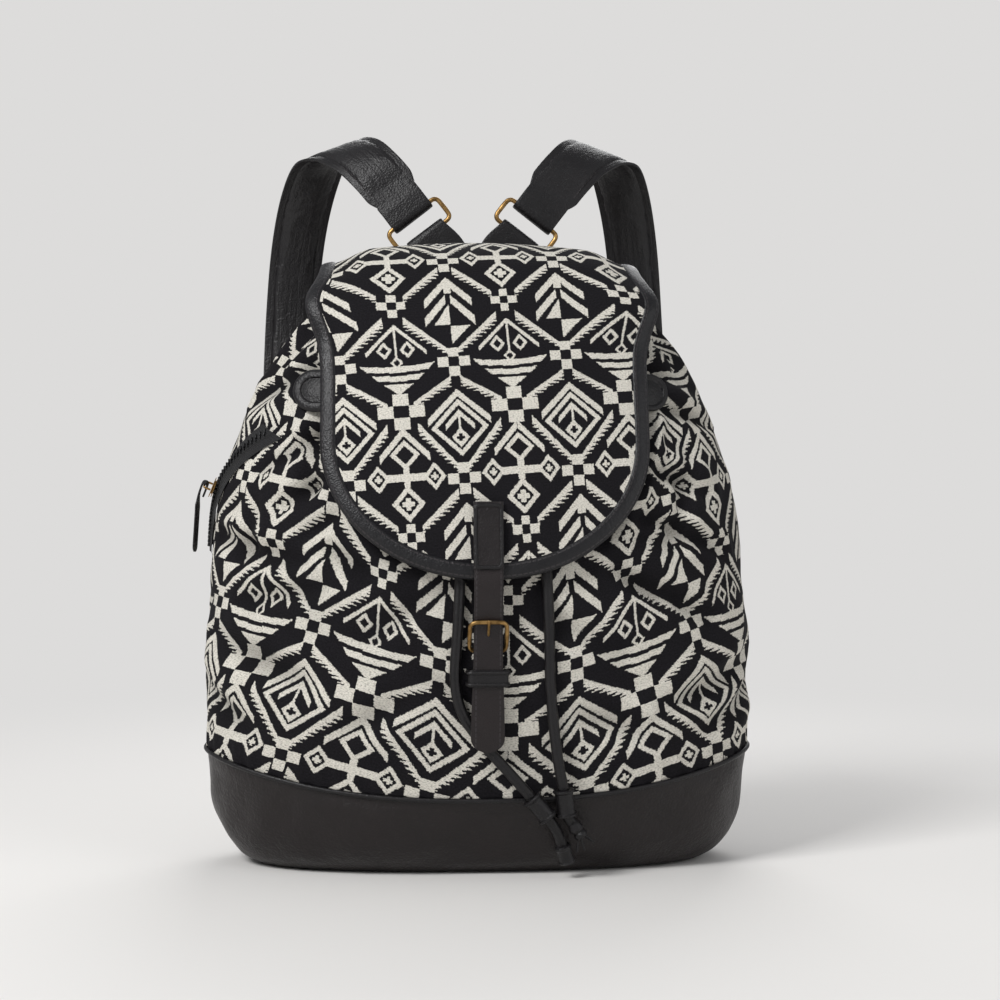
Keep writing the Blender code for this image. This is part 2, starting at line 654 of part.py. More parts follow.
def build_side_tabs():
    """Round-ended leather tabs sewn on the body beside the flap."""
    lift = GAP + SIDE_TAB_THICKNESS / 2.0 + 0.0003
    half = SIDE_TAB_WIDTH / 2.0
    for name, side in (("left", -1.0), ("right", 1.0)):
        stations = [(SIDE_TAB_INNER + (SIDE_TAB_OUTER - half - SIDE_TAB_INNER) * k / 3, half) for k in range(4)]
        stations += [(SIDE_TAB_OUTER - half + half * math.sin(math.radians(a)), half * math.cos(math.radians(a)))
                     for a in (20, 40, 58, 74)]
        rows = [[(side * x, SIDE_TAB_HEIGHT + reach * c / 3.0) for c in range(-3, 4)] for x, reach in stations]
        grid = [[front_point(x, z, lift) for x, z in row] for row in rows]
        normals = [[(front_point(x, z, lift + 0.001) - front_point(x, z, lift)).normalized() for x, z in row]
                   for row in rows]
        slab("side_tab_" + name, grid, normals, SIDE_TAB_THICKNESS, BLACK_LEATHER)


def slider_lift():
    """Height of the slider's middle over the skin."""
    return 2.0 * GAP + ZIP_TAPE_THICKNESS + GAP + ZIP_TEETH_HEIGHT + SLIDER_CLEARANCE + SLIDER_THICKNESS / 2.0


def zip_circle():
    """Centre, axis and radius of the arc that the slider runs on, through three points over the skin."""
    a = left_point(*ZIP_START, slider_lift() + SLIDER_TOP_EASE)[0]
    b, c = (left_point(y, z, slider_lift())[0] for y, z in (ZIP_SLIDER, ZIP_END))
    ab, ac = b - a, c - a
    axis = ab.cross(ac)
    centre = a + (ac.length_squared * axis.cross(ab) + ab.length_squared * ac.cross(axis)) / (2.0 * axis.length_squared)
    return centre, axis.normalized(), (b - centre).length


def zip_stations(count, margin):
    """Depth and height of points along the zip, from its upper end to its lower end."""
    centre, axis, _ = zip_circle()
    first = left_point(*ZIP_START, slider_lift())[0] - centre
    last = left_point(*ZIP_END, slider_lift())[0] - centre
    total = first.angle(last)
    spread = []
    for k in range(count + 1):
        turn = total * (margin + (1.0 - 2.0 * margin) * k / count)
        here = first * math.cos(turn) + axis.cross(first) * math.sin(turn) + centre
        spread.append((here.y, here.z))
    return spread


def build_zip():
    """Side pocket zip: tape, teeth, slider with its bail, and a leather puller hanging from it."""
    _, axis, _ = zip_circle()

    def strip(name, width, thickness, lift, margin, columns, finish):
        grid, normals = [], []
        for y, z in zip_stations(18, margin):
            line, line_normals = [], []
            for c in range(columns):
                offset = width * (c / (columns - 1) - 0.5)
                point, normal = left_point(y + axis.y * offset, z + axis.z * offset, lift)
                line.append(point)
                line_normals.append(normal)
            grid.append(line)
            normals.append(line_normals)
        slab(name, grid, normals, thickness, finish)

    tape_lift = 2.0 * GAP + ZIP_TAPE_THICKNESS / 2.0
    strip("zip_tape", ZIP_TAPE_WIDTH, ZIP_TAPE_THICKNESS, tape_lift, 0.0, 7, BLACK_ZIP)
    teeth_lift = tape_lift + ZIP_TAPE_THICKNESS / 2.0 + GAP + ZIP_TEETH_HEIGHT / 2.0
    strip("zip_teeth", ZIP_TEETH_WIDTH, ZIP_TEETH_HEIGHT, teeth_lift, 0.02, 3, BLACK_ZIP)
    build_zip_slider()


def slider_axes():
    """Place of the slider at rest, its direction down the zip, its outward direction and its width direction."""
    centre, axis, _ = zip_circle()
    here = left_point(*ZIP_SLIDER, slider_lift())[0]
    out = (here - centre).normalized()
    down = axis.cross(out).normalized()
    return here, down, out, axis


def build_zip_slider():
    """Brass slider on the arc of the zip, and the puller on its bail."""
    here, down, out, wide = slider_axes()
    half_length, half_width, half = SLIDER_LENGTH / 2.0, SLIDER_WIDTH / 2.0, SLIDER_THICKNESS / 2.0
    outline = [(-1.0, 0.55), (-0.55, 1.0), (0.4, 0.80), (1.0, 0.62)]
    outline += [(a, -b) for a, b in reversed(outline)]
    vertices = []
    for level in (-half, half):
        vertices += [here + down * (a * half_length) + wide * (b * half_width) + out * level for a, b in outline]
    size = len(outline)
    faces = [tuple(range(size)), tuple(range(size, 2 * size))]
    faces += [(k, (k + 1) % size, (k + 1) % size + size, k + size) for k in range(size)]
    add_object("zip_slider", vertices, faces, BRASS)

    foot = half + GAP
    reach = half_width * 0.80
    arch = [(-1.0, foot), (-1.0, foot + BAIL_HEIGHT * 0.6), (-0.8, foot + BAIL_HEIGHT),
            (0.8, foot + BAIL_HEIGHT), (1.0, foot + BAIL_HEIGHT * 0.6), (1.0, foot)]
    bail = smooth_route([here + wide * (a * reach) + out * b for a, b in arch], 3)
    sweep("slider_bail", bail, [down] * len(bail), lambda k: round_section(BAIL_WIRE, 6), BRASS)
    build_puller(here + out * (foot + BAIL_HEIGHT))


def build_puller(crown):
    """Leather puller: a strip that is folded over the bail's crown and lies down along the zip."""
    _, down, out, wide = slider_axes()
    leaf = PULLER_THICKNESS / 2.0
    fold = BAIL_WIRE + GAP + leaf / 2.0
    turn = [crown - down * (fold * math.cos(math.radians(a))) + out * (fold * math.sin(math.radians(a)))
            for a in (-90, -50, 0, 50, 90)]
    near = [crown - out * fold + down * along for along in (0.009, 0.004)]
    reaches = (0.004, 0.007, 0.010, PULLER_LENGTH * 0.6, PULLER_LENGTH - 0.001, PULLER_LENGTH)
    far = [crown + out * fold + down * along for along in reaches]
    route = near + turn + far
    last = len(route) - 1

    def section(k):
        """Narrow neck in the bail, full width below it, and a softened end."""
        if k <= last - 4:
            return flat_section(PULLER_NECK, leaf)
        return flat_section(PULLER_WIDTH * (0.8 if k == last else 1.0), leaf)

    sweep("zip_puller", route, [wide] * len(route), section, BLACK_LEATHER)


def cord_points(rows):
    """Route of a drawcord through its chosen points, in front of the bag."""
    stretch = BAG_HEIGHT / ROUTE_HEIGHT
    return [Vector((x, front_y(x, z * stretch) - lift, z * stretch)) for x, lift, z in rows]


def add_cord(name, rows):
    """Round cord as a curve with filled ends."""
    route = smooth_route(cord_points(rows), 2)
    curve = bpy.data.curves.new(name, "CURVE")
    curve.dimensions = "3D"
    curve.bevel_depth = CORD_RADIUS
    curve.bevel_resolution = 2
    curve.use_fill_caps = True
    spline = curve.splines.new("POLY")
    spline.points.add(len(route) - 1)
    for point, place in zip(spline.points, route):
        point.co = (*place, 1.0)
    cord = bpy.data.objects.new(name, curve)
    cord.data.materials.append(finish_material(name, BLACK_LEATHER))
    bpy.context.scene.collection.objects.link(cord)


def place_on_cord(rows, at):
    """Point and direction of a cord at a place counted in its chosen points."""
    route = smooth_route(cord_points(rows), 10)
    k = int(round(at * 10))
    return route[k], (route[k + 1] - route[k - 1]).normalized()


def add_turned(name, centre, direction, profile, finish, solid=False, sides=16):
    """Turned piece along a direction; the profile's pairs are a distance along it and a radius.

    A solid piece has a flat at each end; any other one is a sleeve whose profile closes on itself.
    """
    helper = Vector((0.0, -1.0, 0.0))
    wide = (helper - direction * helper.dot(direction)).normalized()
    side = direction.cross(wide)
    vertices = []
    for along, radius in profile:
        for s in range(sides):
            turn = math.tau * s / sides
            vertices.append(centre + direction * along + (wide * math.cos(turn) + side * math.sin(turn)) * radius)
    faces = []
    count = len(profile)
    for r in range(count - 1 if solid else count):
        for s in range(sides):
            t = (s + 1) % sides
            after = (r + 1) % count
            faces.append((r * sides + s, r * sides + t, after * sides + t, after * sides + s))
    if solid:
        faces += [tuple(range(sides)), tuple(range((count - 1) * sides, count * sides))]
    return add_object(name, vertices, faces, finish)


def build_cords():
    """Drawcords with their guides under the flap, leather sleeves and bound ends."""
    for side, rows, sleeve_at in (("left", LEFT_CORD, LEFT_SLEEVE_AT), ("right", RIGHT_CORD, RIGHT_SLEEVE_AT)):
        add_cord("drawcord_" + side, rows)
        centre, direction = place_on_cord(rows, sleeve_at)
        bore, half = CORD_RADIUS + 2.0 * GAP, SLEEVE_LENGTH / 2.0
        profile = [(-half, bore), (-half, SLEEVE_RADIUS), (-half + 0.0015, SLEEVE_RADIUS - 0.0004),
                   (half - 0.0015, SLEEVE_RADIUS - 0.0004), (half, SLEEVE_RADIUS), (half, bore)]
        add_turned("cord_sleeve_" + side, centre, direction, profile, BLACK_LEATHER)
        route = smooth_route(cord_points(rows), 2)
        tip, heading = route[-1], (route[-1] - route[-2]).normalized()
        scale = CORD_END_LENGTH / 12.0
        profile = [(0.0, 0.8), (1.0, 1.0), (6.0, 0.92), (8.0, 0.95), (11.0, 0.88), (12.0, 0.6)]
        add_turned("cord_end_" + side, tip + heading * GAP, heading,
                   [(a * scale, r * CORD_END_RADIUS) for a, r in profile], BLACK_LEATHER, solid=True, sides=12)
        x, lift = rows[0][0], rows[0][1]
        near, far = 3.5 * GAP + GUIDE_WALL / 2.0 - lift, CORD_RADIUS + 2.0 * GAP + GUIDE_WALL / 2.0
        half_width = CORD_RADIUS + 2.0 * GAP + GUIDE_WALL
        arch = [(-half_width - 0.003, near), (-half_width, near), (-half_width, far * 0.6), (-half_width * 0.6, far),
                (half_width * 0.6, far), (half_width, far * 0.6), (half_width, near), (half_width + 0.003, near)]
        points = [Vector((x + a, front_y(x + a, GUIDE_HEIGHT) - lift - b, GUIDE_HEIGHT)) for a, b in arch]
        upright = front_point(x, GUIDE_HEIGHT + 0.002, 0.0) - front_point(x, GUIDE_HEIGHT - 0.002, 0.0)
        sweep("cord_guide_" + side, points, [upright] * len(points),
              lambda k: flat_section(GUIDE_LENGTH, GUIDE_WALL), BLACK_LEATHER)


def folded_strip(name, line, normals, gaps, wrap_centre, up, normal, radius, across, width, thickness):
    """Strip folded round a bar: two legs beside a middle line, and the turn between them."""
    far_leg = [p + n * g for p, n, g in zip(line, normals, gaps)]
    near_leg = [p - n * g for p, n, g in zip(line, normals, gaps)]
    turn = [wrap_centre + normal * (radius * math.cos(math.radians(a))) + up * (radius * math.sin(math.radians(a)))
            for a in (0, 30, 60, 90, 120, 150, 180)]
    route = far_leg + turn + near_leg[::-1]
    wide = across + [across[-1]] * len(turn) + across[::-1]
    sweep(name, route, wide, lambda k: flat_section(width, thickness), BLACK_LEATHER)


def build_shoulder_strap(name, side):
    """Loop on the back, ring, end loop, padded strap, webbing, adjuster and lower anchor of one side."""
    mirror = Vector((side, 1.0, 1.0))
    up = Vector((side * math.sin(RING_TILT), 0.06, math.cos(RING_TILT))).normalized()
    wide = Vector((math.cos(RING_TILT), 0.0, -side * math.sin(RING_TILT)))
    normal = wide.cross(up).normalized()
    normal = normal if normal.y > 0 else -normal
    ring = Vector(RING_CENTRE) * mirror
    route = rounded_frame(ring, wide, up, RING_HALF_WIDTH, RING_HALF_HEIGHT, 0.004)
    sweep("strap_ring_" + name, route, [normal] * len(route), lambda k: round_section(RING_WIRE, 8), BRASS,
          closed=True)
    build_anchor_loop(name, side, ring, up, wide, normal)
    build_pad(name, side, ring, up, wide, normal)
    build_lower_strap(name, side)


def ring_fold():
    """Radius of a leather fold's middle round the ring's wire."""
    return RING_WIRE + 2.0 * GAP + LOOP_THICKNESS / 2.0


def build_anchor_loop(name, side, ring, up, wide, normal):
    """Leather loop from the bag's back round the ring's lower bar."""
    bar = ring - up * RING_HALF_HEIGHT
    closed_gap = LOOP_THICKNESS / 2.0 + GAP
    flap_back = flap_back_middle() + FLAP_THICKNESS / 2.0
    base_y = flap_back + GAP + LOOP_THICKNESS / 2.0 + closed_gap
    base = Vector((side * LOOP_BASE_OUT, base_y, LOOP_BASE_HEIGHT))
    points = [base, Vector((side * (LOOP_BASE_OUT + 0.0005), base_y, LOOP_BASE_HEIGHT + 0.020)),
              bar - up * 0.022 + Vector((-side * 0.001, 0.0, 0.0)), bar]
    line = smooth_route(points, 4)
    last = len(line) - 1
    across = [Vector((1.0, 0.0, 0.0)).lerp(wide, smooth_between(0.3, 1.0, k / last)) for k in range(last + 1)]
    gaps = [closed_gap + (ring_fold() - closed_gap) * smooth_between(0.45, 1.0, k / last) for k in range(last + 1)]
    normals = [Vector((0.0, 1.0, 0.0)).lerp(normal, k / last).normalized() for k in range(last + 1)]
    folded_strip("anchor_loop_" + name, line[:-1], normals[:-1], gaps[:-1], bar, up, normal, ring_fold(),
                 across[:-1], LOOP_WIDTH, LOOP_THICKNESS)


def pad_route(side):
    """Smooth middle line of the padded strap."""
    return smooth_route([Vector((side * x, y, RING_CENTRE[2] + rise)) for x, y, rise in PAD_ROUTE], 3)


def pad_across(side, count):
    """Width direction along the padded strap, which turns from the ring's tilt to straight across."""
    start = Vector((math.cos(RING_TILT), 0.0, -side * math.sin(RING_TILT)))
    return [start.lerp(Vector((1.0, 0.0, 0.0)), smooth_between(0.05, 0.75, k / (count - 1))) for k in range(count)]


def build_pad(name, side, ring, up, wide, normal):
    """Padded strap with a thin tongue, and the leather end loop that joins it to the ring."""
    bar = ring + up * RING_HALF_HEIGHT
    route = pad_route(side)
    across = pad_across(side, len(route))
    lengths = [0.0]
    for a, b in zip(route, route[1:]):
        lengths.append(lengths[-1] + (b - a).length)

    def section(k):
        from_end = lengths[-1] - lengths[k]
        swell = smooth_between(0.008, 0.024, lengths[k])
        thickness = TONGUE_THICKNESS + (PAD_THICKNESS - TONGUE_THICKNESS) * swell
        width = LOOP_WIDTH + (PAD_WIDTH - LOOP_WIDTH) * smooth_between(0.004, 0.016, lengths[k])
        rounding = 0.80 + 0.20 * smooth_between(0.0, 0.012, from_end)
        return flat_section(width * rounding, thickness * rounding)

    sweep("shoulder_strap_" + name, route, across, section, BLACK_LEATHER)
    grip = (route[2] - route[0]).normalized()
    leg_gap = TONGUE_THICKNESS / 2.0 + GAP + LOOP_THICKNESS / 2.0 + 0.0002
    ends = [route[0] + grip * 0.007, route[0] + grip * 0.003, route[0], bar + up * 0.0015]
    gaps = [leg_gap, leg_gap, leg_gap, ring_fold()]
    folded_strip("strap_end_loop_" + name, ends, [normal] * 4, gaps, bar, -up, normal, ring_fold(),
                 [wide] * 4, LOOP_WIDTH + 0.002, LOOP_THICKNESS)


def anchor_lift():
    """Height of the anchor tab's middle over the skin: it lies on the welt."""
    return WELT_RADIUS * 2.0 + 4.5 * GAP + ANCHOR_THICKNESS / 2.0


def webbing_route(side):
    """Middle line of the lower webbing, from behind the padded strap's end to the anchor tab."""
    route = pad_route(side)
    across = pad_across(side, len(route))
    directions = tangents(route)
    inner = PAD_THICKNESS / 2.0 + GAP + WEBBING_THICKNESS / 2.0 + 0.0002
    start = []
    for k in (-4, -3, -2, -1):
        towards_bag = directions[k].cross(across[k]).normalized()
        towards_bag = towards_bag if towards_bag.y < 0 else -towards_bag
        start.append(route[k] + towards_bag * inner)
    climb = route[-1].z - ANCHOR_HIGH
    middle = [Vector((side * x, y, ANCHOR_HIGH + share * climb)) for x, y, share in WEBBING_ROUTE]
    seat = anchor_lift() + ANCHOR_THICKNESS / 2.0 + 3.0 * GAP + WEBBING_THICKNESS / 2.0
    ends = [back_point(side * ANCHOR_OUT, z, seat) for z in (ANCHOR_HIGH - 0.004, ANCHOR_LOW + 0.024, ANCHOR_LOW + 0.008)]
    return smooth_route(start + middle + ends, 3)


def build_lower_strap(name, side):
    """Webbing, its slide adjuster, and the leather tab that anchors it low on the back."""
    route = webbing_route(side)
    wide = [Vector((1.0, 0.0, 0.0))] * len(route)
    beside = [back_point(side * ANCHOR_OUT + step, (ANCHOR_LOW + ANCHOR_HIGH) / 2.0, 0.0) for step in (-0.01, 0.01)]
    low_wide = (beside[1] - beside[0]).normalized()
    last = len(route) - 1
    wide = [wide[k].lerp(low_wide, smooth_between(0.5, 0.9, k / last)) for k in range(last + 1)]
    sweep("lower_webbing_" + name, route, wide, lambda k: flat_section(WEBBING_WIDTH, WEBBING_THICKNESS),
          BLACK_WEBBING)

    rows = []
    for k in range(5):
        z = ANCHOR_LOW + (ANCHOR_HIGH - ANCHOR_LOW) * k / 4
        share = 1.0 - 0.35 * smooth_between(ANCHOR_LOW + 0.02, ANCHOR_HIGH, z)
        rows.append([(side * ANCHOR_OUT + ANCHOR_WIDTH * share * (c / 4.0 - 0.5), z) for c in range(5)])
    lift = anchor_lift()
    grid = [[back_point(x, z, lift) for x, z in row] for row in rows]
    normals = [[(back_point(x, z, lift + 0.001) - back_point(x, z, lift)).normalized() for x, z in row]
               for row in rows]
    slab("lower_anchor_" + name, grid, normals, ANCHOR_THICKNESS, BLACK_LEATHER)
    build_adjuster(name, route, wide, ADJUSTER_AT)


def build_adjuster(name, route, wide, at):
    """Three-bar slide adjuster: two bars behind the webbing, one in front, joined beside it."""
    k = int(at * (len(route) - 1))
    along = tangents(route)[k]
    across = (wide[k] - along * wide[k].dot(along)).normalized()
    out = along.cross(across)
    centre = route[k]
    clear = WEBBING_THICKNESS / 2.0 + 2.0 * GAP + ADJUSTER_BAR / 2.0 + 0.0004
    half_width = WEBBING_WIDTH / 2.0 + 0.0006 + ADJUSTER_BAR / 2.0
    corner = half_width
    bars = [((-corner, -ADJUSTER_HALF_HEIGHT, -clear), (corner, -ADJUSTER_HALF_HEIGHT, -clear)),
            ((-corner, ADJUSTER_HALF_HEIGHT, -clear), (corner, ADJUSTER_HALF_HEIGHT, -clear)),
            ((-corner, 0.0, clear), (corner, 0.0, clear))]
    rails = [((s * corner, -ADJUSTER_HALF_HEIGHT, 0.0), (s * corner, ADJUSTER_HALF_HEIGHT, 0.0)) for s in (-1, 1)]
    shape = bmesh.new()
    for (a, b), (tall, thick) in [(bar, (ADJUSTER_BAR * 1.5, ADJUSTER_BAR)) for bar in bars] + \
            [(rail, (ADJUSTER_BAR, 2.0 * clear + ADJUSTER_BAR)) for rail in rails]:
        low, high = Vector(a), Vector(b)
        if a[0] == b[0]:
            half = Vector((tall / 2.0, 0.0, thick / 2.0))
            past_end = Vector((0.0, ADJUSTER_BAR * 0.75, 0.0))
            low, high = low - half - past_end, high + half + past_end
        else:
            half = Vector((0.0, tall / 2.0, thick / 2.0))
            low, high = low - half, high + half
        corners = [Vector((x, y, z)) for x in (low.x, high.x) for y in (low.y, high.y) for z in (low.z, high.z)]
        made = [shape.verts.new(centre + across * c.x + along * c.y + out * c.z) for c in corners]
        for face in ((0, 1, 3, 2), (4, 6, 7, 5), (0, 4, 5, 1), (2, 3, 7, 6), (0, 2, 6, 4), (1, 5, 7, 3)):
            shape.faces.new([made[v] for v in face])
    bmesh.ops.recalc_face_normals(shape, faces=shape.faces)
    mesh = bpy.data.meshes.new("strap_adjuster_" + name)
    shape.to_mesh(mesh)
    shape.free()
    mesh.materials.append(finish_material("strap_adjuster_" + name, BRASS))
    piece = bpy.data.objects.new("strap_adjuster_" + name, mesh)
    bpy.context.scene.collection.objects.link(piece)
    union = piece.modifiers.new("join_bars", "BOOLEAN")
    union.operation = "UNION"
    union.solver = "EXACT"
    union.use_self = True
    union.operand_type = "COLLECTION"
    union.collection = bpy.data.collections.new("no_other_" + name)


def main():
    """Build every piece of the bag."""
    clear_scene()
    build_base()
    build_body()
    build_welt()
    build_flap()
    build_closure_strap()
    build_buckle()
    build_side_tabs()
    build_zip()
    build_cords()
    build_shoulder_strap("left", -1.0)
    build_shoulder_strap("right", 1.0)


main()
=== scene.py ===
"""Looks of the rucksack: woven canvas, grained leather, aged brass, cords and padded straps.

Metres, +Z up, in the CAD's own frame. The flap faces -Y and the shoulder straps stand at +Y.
"""
import logging
import math
from dataclasses import dataclass, field
from enum import Enum
from typing import Any, Callable, Sequence

import bpy
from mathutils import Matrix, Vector, kdtree, noise


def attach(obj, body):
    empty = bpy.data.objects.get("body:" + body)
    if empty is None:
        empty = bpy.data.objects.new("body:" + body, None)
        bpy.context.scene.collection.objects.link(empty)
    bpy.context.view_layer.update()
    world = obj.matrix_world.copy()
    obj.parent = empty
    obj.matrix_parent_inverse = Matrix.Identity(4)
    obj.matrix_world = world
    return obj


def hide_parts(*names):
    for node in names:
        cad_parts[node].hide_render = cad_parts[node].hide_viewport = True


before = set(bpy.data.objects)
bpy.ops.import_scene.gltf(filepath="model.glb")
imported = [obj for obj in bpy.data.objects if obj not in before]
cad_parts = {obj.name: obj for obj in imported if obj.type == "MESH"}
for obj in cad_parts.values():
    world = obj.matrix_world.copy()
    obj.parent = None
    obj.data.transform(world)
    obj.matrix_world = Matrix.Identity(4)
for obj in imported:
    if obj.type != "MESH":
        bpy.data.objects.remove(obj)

LOG = logging.getLogger("backpack")
MILLIMETRES = 1000.0

# The same form as the CAD: height share, half width, front depth and back depth as shares
BAG_HEIGHT = 0.370
BAG_HALF_WIDTH = 0.179
BAG_FRONT_DEPTH = 0.096
BAG_BACK_DEPTH = 0.072
FRONT_ROUNDNESS = 2.4
BACK_ROUNDNESS = 3.4
FORM_ROWS = (
    (0.000, 0.827, 0.646, 0.667), (0.016, 0.883, 0.729, 0.764), (0.049, 0.939, 0.813, 0.861),
    (0.097, 0.975, 0.875, 0.917), (0.203, 0.997, 0.948, 0.972), (0.386, 1.000, 1.000, 1.000),
    (0.530, 0.983, 0.990, 1.000), (0.657, 0.950, 0.938, 0.972), (0.746, 0.894, 0.865, 0.917),
    (0.835, 0.821, 0.771, 0.847), (0.908, 0.732, 0.667, 0.778), (0.968, 0.626, 0.563, 0.694),
    (1.000, 0.559, 0.500, 0.639),
)
GATHERS = 16
GATHER_START = 0.285
GATHER_DEPTH = 0.011
GATHER_BITE = 1.6
SEAM_FRONT = 0.048
SEAM_SIDE = 0.074
SEAM_BACK = 0.060
WALL = 0.003
PROBE = 0.001  # step that finds the skin's direction
FLAP_HALF_WIDTH = 0.096
FLAP_LIFT = 0.0115
FLAP_TIP = 0.192
FLAP_ROUND_START = 0.272
FLAP_BACK_HEIGHT = 0.345
FLAP_CREST = 0.0345
FLAP_SIDE_DROOP = 0.014

Pair = tuple[float, float]
Triple = tuple[float, float, float]
Along = float | Callable[[float], float]
Socket = bpy.types.NodeSocket
Surface = Callable[[float, float], Vector]
Flat = Callable[[float, float], Pair]


RIGHT = Vector((1.0, 0.0, 0.0))
BACK = Vector((0.0, 1.0, 0.0))
UP = Vector((0.0, 0.0, 1.0))


class Slot(Enum):
    """Finishes of the record that a scene can repaint."""

    LEATHER = "black_leather"
    CANVAS = "canvas"
    BRASS = "brass"
    ZIP = "zip"
    WEBBING = "webbing"


def colour(text: str) -> tuple[float, float, float, float]:
    """Linear colour from an sRGB hex code.

    Args:
        text: Six hex digits with a leading hash.

    Returns:
        Red, green, blue and alpha for a shader socket.
    """
    parts = [int(text[k:k + 2], 16) / 255.0 for k in (1, 3, 5)]
    red, green, blue = [c / 12.92 if c <= 0.04045 else ((c + 0.055) / 1.055) ** 2.4 for c in parts]
    return red, green, blue, 1.0


def smooth_between(low: float, high: float, value: float) -> float:
    """Soft step: 0 at low, 1 at high, which may be the lower one."""
    share = min(1.0, max(0.0, (value - low) / (high - low)))
    return share * share * (3.0 - 2.0 * share)


def table_value(rows: Sequence[Sequence[float]], at: float, column: int) -> float:
    """Smooth value of a column of a table.

    Args:
        rows: Rows whose first column rises.
        at: Value of the first column, kept within the table.
        column: Number of the column to read.

    Returns:
        The value on a smooth curve through the column.
    """
    last = len(rows) - 1
    at = min(rows[last][0], max(rows[0][0], at))
    k = max(i for i in range(last) if rows[i][0] <= at)

    def slope(i: int) -> float:
        """Slope of the curve at a row, from the rows beside it."""
        low, high = max(i - 1, 0), min(i + 1, last)
        return (rows[high][column] - rows[low][column]) / (rows[high][0] - rows[low][0])

    span = rows[k + 1][0] - rows[k][0]
    t = (at - rows[k][0]) / span
    return ((1.0 + 2.0 * t) * (1.0 - t) ** 2 * rows[k][column] + t * (1.0 - t) ** 2 * span * slope(k)
            + t * t * (3.0 - 2.0 * t) * rows[k + 1][column] + t * t * (t - 1.0) * span * slope(k + 1))


def form(z: float) -> Triple:
    """Half width, front depth and back depth of the bag at a height."""
    share = z / BAG_HEIGHT
    return (BAG_HALF_WIDTH * table_value(FORM_ROWS, share, 1), BAG_FRONT_DEPTH * table_value(FORM_ROWS, share, 2),
            BAG_BACK_DEPTH * table_value(FORM_ROWS, share, 3))


def signed_power(value: float, power: float) -> float:
    """Power of the size of a value, with its sign kept."""
    return math.copysign(abs(value) ** power, value)


def ring_point(angle: float, z: float, inset: float = 0.0, gathered: bool = False) -> Vector:
    """Point of the bag's skin.

    Args:
        angle: Angle round the bag, 0 at +X and a quarter turn at +Y.
        z: Height over the bottom.
        inset: Distance inside the skin.
        gathered: True adds the gathers under the mouth.

    Returns:
        The point.
    """
    half_width, front, back = form(z)
    depth, roundness = (back, BACK_ROUNDNESS) if math.sin(angle) > 0 else (front, FRONT_ROUNDNESS)
    shrink = 1.0
    if gathered:
        pull = GATHER_DEPTH * smooth_between(GATHER_START, BAG_HEIGHT, z)
        shrink = 1.0 - pull * (0.5 + 0.5 * math.cos(GATHERS * angle)) / half_width * GATHER_BITE
    x = (half_width - inset) * signed_power(math.cos(angle), 2.0 / roundness) * shrink
    y = (depth - inset) * signed_power(math.sin(angle), 2.0 / roundness) * shrink
    return Vector((x, y, z))


def outward(angle: float, z: float) -> Vector:
    """Level direction out of the bag at an angle round it and a height."""
    return (ring_point(angle, z, inset=-PROBE) - ring_point(angle, z)).normalized()


def front_y(x: float, z: float) -> float:
    """Place of the bag's front along Y, which is negative."""
    half_width, front, _ = form(z)
    return -front * max(0.0, 1.0 - (abs(x) / half_width) ** FRONT_ROUNDNESS) ** (1.0 / FRONT_ROUNDNESS)


def back_y(x: float, z: float) -> float:
    """Place of the bag's back along Y."""
    half_width, _, back = form(z)
    return back * max(0.0, 1.0 - (abs(x) / half_width) ** BACK_ROUNDNESS) ** (1.0 / BACK_ROUNDNESS)


def left_x(y: float, z: float) -> float:
    """Place of the bag's left side.

    Args:
        y: Depth.
        z: Height over the bottom.

    Returns:
        The place along X, which is negative.
    """
    half_width, front, back = form(z)
    depth, roundness = (back, BACK_ROUNDNESS) if y > 0 else (front, FRONT_ROUNDNESS)
    return -half_width * max(0.0, 1.0 - (abs(y) / depth) ** roundness) ** (1.0 / roundness)


def lifted(skin: Surface, a: float, b: float, lift: float, turned: bool) -> Vector:
    """Point over a skin, lifted square to it.

    Args:
        skin: Point of the skin at two places.
        a: Its first place, across the skin.
        b: Its second place, the height.
        lift: Distance over the skin.
        turned: True when across and up give the direction inward.

    Returns:
        The lifted point.
    """
    here = skin(a, b)
    across, up = skin(a + PROBE, b) - here, skin(a, b + PROBE) - here
    out = up.cross(across) if turned else across.cross(up)
    return here + out.normalized() * lift


def front_point(x: float, z: float, lift: float) -> Vector:
    """Point over the bag's front, lifted square to the skin."""
    return lifted(lambda a, b: Vector((a, front_y(a, b), b)), x, z, lift, turned=False)


def left_point(y: float, z: float, lift: float) -> Vector:
    """Point over the bag's left side, lifted square to the skin."""
    return lifted(lambda a, b: Vector((left_x(a, b), a, b)), y, z, lift, turned=True)


def back_point(x: float, z: float, lift: float) -> Vector:
    """Point over the bag's back, lifted square to the skin."""
    return lifted(lambda a, b: Vector((a, back_y(a, b), b)), x, z, lift, turned=True)


def seam_height(angle: float) -> float:
    """Height of the seam between canvas and leather: low in front, higher at the sides."""
    middle = SEAM_FRONT if math.sin(angle) < 0 else SEAM_BACK
    return middle + (SEAM_SIDE - middle) * math.cos(angle) ** 2


def smooth_route(points: Sequence[Vector], steps: int) -> list[Vector]:
    """Smooth curve through points.

    Args:
        points: Points that the curve passes.
        steps: Steps between each two of them.

    Returns:
        The points of the curve, ends included.
    """
    ends = [points[0] * 2.0 - points[1]] + list(points) + [points[-1] * 2.0 - points[-2]]
    route = []
    for k in range(len(points) - 1):
        a, b, c, d = ends[k:k + 4]
        for s in range(steps):
            t = s / steps
            route.append(0.5 * ((2.0 * b) + (c - a) * t + (2.0 * a - 5.0 * b + 4.0 * c - d) * t * t
                                + (3.0 * b - a - 3.0 * c + d) * t ** 3))
    return route + [points[-1].copy()]


